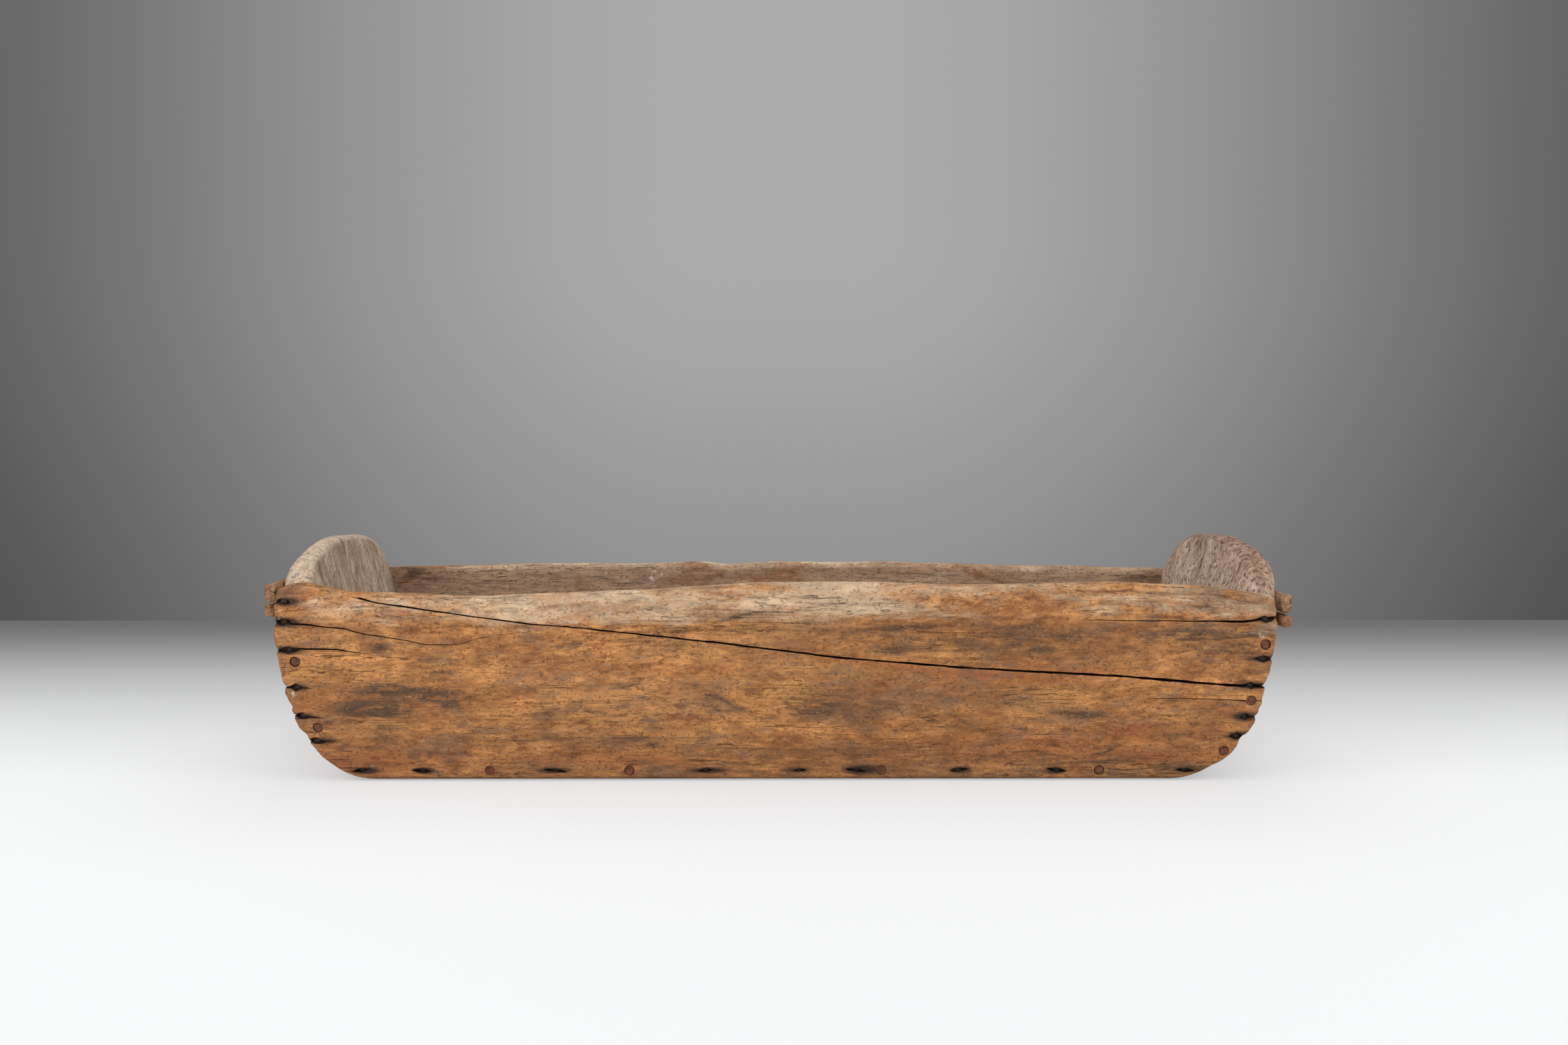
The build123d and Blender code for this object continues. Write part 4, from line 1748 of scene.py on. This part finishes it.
@dataclass
class FixingRow:
    """The nails or pegs of one CAD node, each a dented copy of the model."""

    node: str
    model: Object
    finish: Finish
    slot: str
    board: SideBoard | None = None
    sink: float = 0.0
    stain: float = 0.3
    seed: int = 400

    def driven(self, corners: np.ndarray, rng: np.random.Generator) -> Object:
        """Copies the model to where the CAD has a nail or peg.

        Args:
            corners: The lowest and highest corner of the CAD's one.
            rng: Where its turn, tilt and size come from.

        Returns:
            The copy.
        """
        # The head's place on the outermost side of the CAD's one, or on the board's hewn face
        low, high = corners
        axis = 0 if self.board is None else 1
        top = (low + high) / 2
        out = np.zeros(3)
        out[axis] = np.sign(top[axis])
        top[axis] = high[axis] if out[axis] > 0 else low[axis]
        if self.board is not None:
            top[1] = self.board.level_at(top[0], top[2]) - out[1] * self.sink
        piece = bpy.data.objects.new(self.node, self.model.data.copy())
        bpy.context.scene.collection.objects.link(piece)
        # Turned and tilted by chance, most at the head, and set upright on the face
        points = points_of(piece)
        turn, size, tilt = rng.uniform(-0.5, 0.5), rng.uniform(0.92, 1.06), rng.uniform(-0.05, 0.05, 2)
        a = points[:, 0] * math.cos(turn) - points[:, 1] * math.sin(turn)
        b = points[:, 0] * math.sin(turn) + points[:, 1] * math.cos(turn)
        near = np.exp(points[:, 2] / 6)
        c = points[:, 2] + near * (tilt[0] * a + tilt[1] * b + rng.uniform(-0.4, 0.2))
        side, up = np.cross((0, 0, 1), out), np.array([0, 0, 1])
        placed = top + size * (a[:, None] * side + b[:, None] * up) + c[:, None] * out
        dents = np.stack([noise(placed, (3, 3, 3), self.seed + k) for k in range(3)], axis=1)
        write_points(piece, placed + 0.35 * near[:, None] * dents)
        return piece

    def build(self) -> Object:
        """Makes the finished row.

        Returns:
            The joined nails or pegs.
        """
        rng = np.random.default_rng(self.seed)
        row = join([self.driven(corners, rng) for corners in fixings(self.node)], f"{self.node}_worn")
        row.data.materials.clear()
        row.data.materials.append(self.finish.material())
        if isinstance(self.finish, Wood):
            marks = blank_marks(row)
            marks[Mark.STAIN] += self.stain
            write_marks(row, marks)
        return hand_over(row, self.node, self.slot, 35.0)


# The rims: share of a board's length from the left end, and height
FRONT_RIM = (
    (0.0, 252.0), (0.02, 266.0), (0.07, 251.0), (0.21, 246.0), (0.38, 255.0), (0.48, 264.0),
    (0.6, 264.0), (0.67, 260.0), (0.84, 264.0), (0.94, 258.0), (1.0, 244.0),
)
BACK_RIM = (
    (0.0, 248.0), (0.05, 247.0), (0.19, 251.0), (0.35, 253.0), (0.41, 256.0), (0.44, 251.0),
    (0.49, 255.0), (0.62, 255.0), (0.77, 250.0), (0.96, 245.0), (1.0, 240.0),
)
# The long split and a crease of the front board, as X and height
SPLIT = (
    (-556.0, 246.5), (-523.0, 238.0), (-376.0, 218.0), (-322.0, 211.0), (-250.0, 205.0),
    (-73.0, 186.0), (76.0, 167.0), (247.0, 153.0), (448.0, 142.0), (588.0, 130.0), (660.0, 127.0),
)
CREASE = (
    (-660.0, 215.5), (-575.0, 207.0), (-531.0, 198.0), (-495.0, 191.0), (-451.0, 184.0),
    (-415.0, 183.0), (-393.0, 192.0), (-364.0, 198.0), (-320.0, 202.0),
)

SIDE_WOOD = Wood(
    "hewn_side_wood",
    warm=linear(190, 133, 80),
    brown=linear(148, 96, 56),
    dark=linear(94, 69, 51),
    dull=linear(130, 98, 74),
    pale=linear(198, 172, 142),
)
BACK_WOOD = Wood(
    "hewn_back_wood",
    warm=linear(166, 124, 88),
    brown=linear(142, 104, 76),
    dark=linear(94, 70, 54),
    dull=linear(164, 132, 106),
    pale=linear(204, 178, 150),
    gold=linear(180, 138, 100),
    seed=7.0,
    streaks=0.25,
)
LEFT_END_WOOD = Wood(
    "left_end_wood",
    warm=linear(182, 152, 124),
    brown=linear(152, 122, 98),
    dark=linear(96, 74, 60),
    dull=linear(172, 150, 130),
    pale=linear(206, 182, 158),
    red=linear(124, 88, 66),
    gold=linear(182, 152, 124),
    grain=Grain.UPRIGHT,
    seed=11.0,
    streaks=0.8,
    pitting=0.6,
)
RIGHT_END_WOOD = Wood(
    "right_end_wood",
    warm=linear(196, 160, 132),
    brown=linear(168, 134, 112),
    dark=linear(98, 72, 60),
    dull=linear(196, 169, 150),
    pale=linear(216, 190, 166),
    red=linear(130, 88, 68),
    gold=linear(190, 158, 132),
    grain=Grain.UPRIGHT,
    seed=15.0,
    streaks=0.3,
    pitting=1.3,
)
FLOOR_WOOD = Wood(
    "inside_floor_wood",
    warm=linear(152, 116, 82),
    brown=linear(122, 90, 64),
    dark=linear(78, 58, 44),
    dull=linear(128, 106, 86),
    pale=linear(170, 144, 118),
    gold=linear(160, 122, 88),
    seed=19.0,
)
SLAT_WOOD = Wood(
    "slat_wood",
    warm=linear(154, 110, 76),
    brown=linear(126, 88, 60),
    dark=linear(78, 54, 40),
    dull=linear(128, 102, 82),
    pale=linear(168, 136, 106),
    gold=linear(160, 116, 80),
    grain=Grain.ACROSS,
    seed=23.0,
)
PEG_WOOD = Wood(
    "peg_wood",
    warm=linear(128, 78, 52),
    brown=linear(106, 62, 43),
    dark=linear(58, 36, 28),
    dull=linear(98, 70, 54),
    pale=linear(132, 96, 74),
    red=linear(100, 56, 38),
    gold=linear(128, 78, 52),
    grain=Grain.ACROSS,
    seed=27.0,
    streaks=0.5,
    relief=0.8,
)

FRONT_CRACKS = (
    Crack(SPLIT, width=3.4, depth=20.0, start=0.5, end=1.0),
    Crack(((-625, 179), (-573, 178), (-517, 169), (-495, 167)), width=2.2, depth=9.0),
    Crack(CREASE, width=2.4, depth=8.0, end=0.15, jitter=1.8),
    Crack(((655, 221), (600, 214), (507, 215), (392, 217)), width=3.0, depth=12.0, end=0.15),
    Crack(((636, 109), (600, 110), (520, 113), (460, 112)), width=1.3, depth=8.0),
    Crack(((180, 201), (240, 199), (300, 199)), width=1.0, depth=6.0, start=0.6),
)
FRONT_SPOTS = (
    *spots(
        Mark.STAIN,
        (-524, 99, 50, 13, 1.7), (-505, 124, 62, 10, 1.4), (-440, 112, 48, 16, 1.4),
        (-74, 111, 34, 5, 1.1, -0.5), (55, 104, 46, 20, 0.8), (170, 204, 76, 8, 1.0),
        (429, 43, 20, 5, 1.2, 0.4), (-60, 219, 60, 3, 0.9, 0.25), (320, 26, 170, 14, 0.5),
        (130, 108, 60, 14, 0.7), (392, 90, 46, 8, 0.9), (560, 50, 90, 10, 0.8), (-91, 116, 10, 7, 1.0),
        (-166, 50, 12, 6, 0.9), (-640, 252, 30, 9, 0.7), (-516, 181, 14, 9, 0.9),
        (300, 186, 220, 20, 0.9), (520, 196, 110, 16, 0.9), (-250, 60, 160, 14, 0.5),
        (90, 40, 300, 16, 0.45), (160, 20, 700, 24, 0.38), (300, 112, 60, 12, 0.6),
        (560, 70, 60, 24, 0.5), (590, 240, 70, 14, 0.5), (600, 190, 60, 24, 0.95),
    ),
    *spots(Mark.PALE, (-96, 238, 84, 4, 0.9, 0.28), (-572, 230, 50, 15, 0.7)),
    *spots(
        Mark.RED,
        (-75, 229, 72, 4, 1.2, 0.28), (300, 141, 84, 5, 1.1, -0.08), (555, 66, 40, 9, 1.0),
        (480, 36, 170, 12, 0.8), (-540, 28, 70, 18, 1.1), (330, 42, 170, 20, 0.8),
        (190, 150, 110, 7, 0.7, -0.1), (-250, 30, 160, 10, 0.6), (-497, 224, 24, 8, 1.0),
        (-620, 240, 40, 16, 0.5), (-552, 236, 34, 6, 0.9), (-250, 226, 40, 8, 0.8),
        (470, 66, 60, 14, 0.9), (590, 96, 30, 8, 0.8), (-480, 35, 60, 10, 0.7), (-20, 228, 50, 6, 0.8),
        (400, 150, 80, 7, 0.7),
    ),
    *spots(
        Mark.GOLD,
        (-90, 130, 150, 40, 0.8), (330, 110, 90, 26, 0.9), (-160, 182, 92, 21, 1.0),
        (70, 150, 70, 14, 0.8), (-600, 150, 40, 30, 0.6), (-120, 90, 170, 30, 0.6),
    ),
    *spots(Mark.DULL, (160, 120, 90, 24, 0.8), (40, 205, 60, 10, 0.6), (585, 238, 75, 16, 0.9)),
    *spots(
        Mark.PAINT,
        (-643, 222, 4, 7, 0.9), (-636, 200, 3, 9, 0.7), (-630, 125, 4, 9, 0.7), (626, 197, 4, 4, 0.6),
    ),
)
BACK_CRACKS = (
    Crack(((656, 190), (540, 186), (420, 190), (200, 181)), width=2.4, depth=14.0),
    Crack(((-660, 196), (-560, 200), (-430, 198)), width=2.4, depth=12.0),
    Crack(((-340, 130), (-180, 126), (20, 131)), width=1.4, depth=9.0, start=0.5),
    Crack(((100, 70), (260, 74), (330, 72)), width=1.2, depth=8.0, start=0.5),
)
BACK_SPOTS = (
    *spots(Mark.STAIN, (-430, 90, 130, 30, 0.8), (220, 150, 180, 26, 0.8), (480, 60, 120, 24, 0.7)),
    *spots(Mark.STAIN, (-575, 235, 40, 18, 0.9), (575, 232, 40, 14, 0.7), inside=True),
    *spots(Mark.GOLD, (-60, 100, 180, 40, 0.7)),
    *spots(Mark.GOLD, (555, 240, 12, 8, 1.0), inside=True),
    *spots(Mark.RED, (420, 200, 90, 10, 0.8), (-300, 225, 60, 8, 0.8)),
    *spots(
        Mark.PAINT,
        (-275, 244, 3, 10, 0.8), (-200, 236, 4, 16, 0.9), (-184, 240, 3, 10, 0.8),
        inside=True,
    ),
)
LEFT_END_CRACKS = (Crack(((312, -14), (296, -10), (276, -11)), width=2.6, depth=12.0),)
RIGHT_END_CRACKS = (Crack(((312, 30), (292, 34)), width=1.8, depth=8.0),)
FLOOR_CRACKS = (
    Crack(((-520, -62), (-300, -70), (-60, -58), (120, -66)), width=2.0, depth=10.0, start=0.4),
    Crack(((560, 84), (330, 92), (150, 86)), width=2.2, depth=9.0),
    Crack(((-180, 30), (60, 22), (260, 28)), width=1.4, depth=7.0, start=0.4),
)

# The lamps: name, place, width and height in metres, and power in watts
LAMPS = (
    ("overhead", (0.1, -0.5, 2.3), (3.2, 2.4), 12),
    ("front_key", (-0.4, -2.6, 1.5), (2.8, 1.8), 12),
    ("left_box", (-2.1, -1.4, 1.3), (1.8, 1.6), 29),
    ("right_box", (2.1, -1.4, 1.3), (1.8, 1.6), 26),
    ("back_fill", (0.3, 2.2, 2.6), (2.6, 1.6), 24),
)


@dataclass
class Stage:
    """The floor, the backdrop, the lights and the camera."""

    near: Colour = linear(239, 240, 241)
    far: Colour = linear(118, 117, 117)
    glow: Colour = linear(171, 170, 170)
    shade: Colour = linear(92, 91, 92)
    room: float = 0.42
    plain: float = 0.45  # how much of the floor's plain colour the camera sees
    floor_size: Triple = (9.0, 5.3, 1.0)
    wall_size: Triple = (16.0, 8.0, 1.0)
    wall_y: float = 3.4
    eye: Triple = (0.0, -2.08, 0.454)
    tilt: float = 3.45  # of the camera downwards, in degrees
    pan: float = -0.19
    focal_length: float = 33.12

    def build(self) -> None:
        """Builds the stage round the trough."""
        scene = bpy.context.scene
        scene.view_settings.view_transform = "Standard"
        deselect()
        bpy.ops.mesh.primitive_plane_add(size=1, location=(0, -1.2, 0))
        bpy.context.object.scale = self.floor_size
        floor = settle("floor")
        floor.data.materials.append(self.floor_paper())
        deselect()
        bpy.ops.mesh.primitive_plane_add(size=1, location=(0, self.wall_y, 2), rotation=(math.pi / 2, 0, 0))
        bpy.context.object.scale = self.wall_size
        wall = settle("backdrop")
        wall.data.materials.append(self.backdrop_paper())
        for lamp in LAMPS:
            self.light(*lamp)
        world = bpy.data.worlds.new("room")
        scene.world = world
        world.use_nodes = True
        ground = world.node_tree.nodes["Background"]
        ground.inputs["Color"].default_value = (1, 1, 1, 1)
        ground.inputs["Strength"].default_value = self.room
        self.camera()

    def floor_paper(self) -> bpy.types.Material:
        """The pale floor, which falls off into shade behind the trough.

        Returns:
            The material.
        """
        made = bpy.data.materials.new("floor_paper")
        kit = Painter(made)
        colour = kit.over(self.near, kit.step(-0.25, 1.5, kit.along(1)), self.far)
        kit.feed(colour, kit.shader.inputs["Base Color"])
        kit.shader.inputs["Roughness"].default_value = 0.95
        kit.shader.inputs["Specular IOR Level"].default_value = 0.1
        self.show(kit, kit.lit(colour, 1.06), self.plain)
        return made

    def backdrop_paper(self) -> bpy.types.Material:
        """The grey backdrop, with a soft painted glow behind the trough and painted shade at its sides and
        towards its foot, which only the camera sees.

        Returns:
            The material.
        """
        made = bpy.data.materials.new("backdrop_paper")
        kit = Painter(made)
        kit.shader.inputs["Base Color"].default_value = (*self.glow, 1)
        kit.shader.inputs["Roughness"].default_value = 0.95
        # Painted shade towards the sides, and below it painted shade towards the foot of the backdrop
        aside = kit.step(0.23, 3.56, kit.math("ABSOLUTE", kit.along(0)))
        low = kit.plus(1.0, kit.times(kit.step(1.22, -0.64, kit.along(2)), -0.36))
        self.show(kit, kit.lit(kit.over(self.glow, aside, self.shade), low), 1.0)
        return made

    def show(self, kit: Painter, colour: Socket, share: float) -> None:
        """Lets the camera alone see a paper, by a share, in a plain colour that no lamp changes.

        Args:
            kit: The paper's painter.
            colour: The plain colour.
            share: How much of it the camera sees.
        """
        seen = kit.tree.nodes.new("ShaderNodeEmission")
        kit.feed(colour, seen.inputs["Color"])
        mix = kit.tree.nodes.new("ShaderNodeMixShader")
        camera_ray = kit.tree.nodes.new("ShaderNodeLightPath").outputs["Is Camera Ray"]
        kit.feed(kit.times(camera_ray, share), mix.inputs["Fac"])
        kit.feed(kit.shader.outputs["BSDF"], mix.inputs[1])
        kit.feed(seen.outputs["Emission"], mix.inputs[2])
        kit.feed(mix.outputs["Shader"], kit.tree.nodes["Material Output"].inputs["Surface"])

    def light(self, name: str, place: Triple, size: Point, power: float) -> None:
        """Adds a soft lamp that faces the trough.

        Args:
            name: The lamp's name.
            place: Where it hangs.
            size: Its width and height.
            power: Its power.
        """
        lamp = bpy.data.lights.new(name, "AREA")
        lamp.shape, lamp.size, lamp.size_y, lamp.energy = "RECTANGLE", size[0], size[1], power
        made = bpy.data.objects.new(name, lamp)
        made.location = place
        made.rotation_euler = (Vector((0, 0, 0.1)) - Vector(place)).to_track_quat("-Z", "Y").to_euler()
        bpy.context.scene.collection.objects.link(made)

    def camera(self) -> None:
        """Sets the photograph's view."""
        lens = bpy.data.cameras.new("view")
        lens.sensor_width, lens.lens = 36.0, self.focal_length
        made = bpy.data.objects.new("view", lens)
        made.location = self.eye
        made.rotation_euler = (math.radians(90 - self.tilt), 0, math.radians(self.pan))
        bpy.context.scene.collection.objects.link(made)
        bpy.context.scene.camera = made


def build_fixings(boards: dict[Side, SideBoard]) -> None:
    """Drives the nails and pegs.

    Args:
        boards: The two side boards, which say how high their faces stand.
    """
    nail = FixingModel(Fixing.NAIL, length=75.0).build()
    short_nail = FixingModel(Fixing.NAIL, length=42.0).build()
    peg = FixingModel(Fixing.PEG, length=78.0).build()
    for side, board in boards.items():
        for column in ("left", "right", "bottom"):
            name = f"{side.name.lower()}_{column}"
            seed = 400 + len(name) + 7 * side.value
            FixingRow(f"{name}_nails", nail, ForgedIron(), "nails", board, sink=4.0, seed=seed).build()
            FixingRow(f"{name}_pegs", peg, PEG_WOOD, "pegs", board, sink=0.4, seed=seed + 1).build()
    for end in (LEFT, RIGHT):
        FixingRow(f"{end.name}_slat_nails", short_nail, ForgedIron(), "nails", seed=450 + end.side).build()
    for model in (nail, short_nail, peg):
        bpy.data.objects.remove(model)


def main() -> None:
    """Builds the trough and its stage."""
    logging.basicConfig(level=logging.INFO, format="%(relativeCreated)6d %(message)s")
    FRAME.update(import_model())
    Stage().build()
    boards = {
        Side.FRONT: SideBoard(Side.FRONT, FRONT_RIM, SIDE_WOOD, FRONT_CRACKS, FRONT_SPOTS, seed=1),
        Side.BACK: SideBoard(Side.BACK, BACK_RIM, BACK_WOOD, BACK_CRACKS, BACK_SPOTS, seed=60),
    }
    for board in boards.values():
        board.build()
    EndBoard(
        LEFT, LEFT_END_WOOD, LEFT_END_CRACKS, 100, lean=2.0, hollow=5.0, top_pale=0.5, top_stain=0.0
    ).build()
    EndBoard(RIGHT, RIGHT_END_WOOD, RIGHT_END_CRACKS, 140).build()
    BottomBoard(FLOOR_WOOD, FLOOR_CRACKS).build()
    for end, reach, rows in (
        (LEFT, 216.0, (("upper", 238.0, 24.0, 300), ("lower", 219.0, 16.0, 310))),
        (RIGHT, 214.6, (("upper", 223.0, 24.0, 320), ("lower", 204.0, 16.0, 330))),
    ):
        for level, bottom, height, seed in rows:
            Slat(end, level, bottom, height, reach, SLAT_WOOD, seed).build()
    build_fixings(boards)


if __name__ == "__main__":
    main()
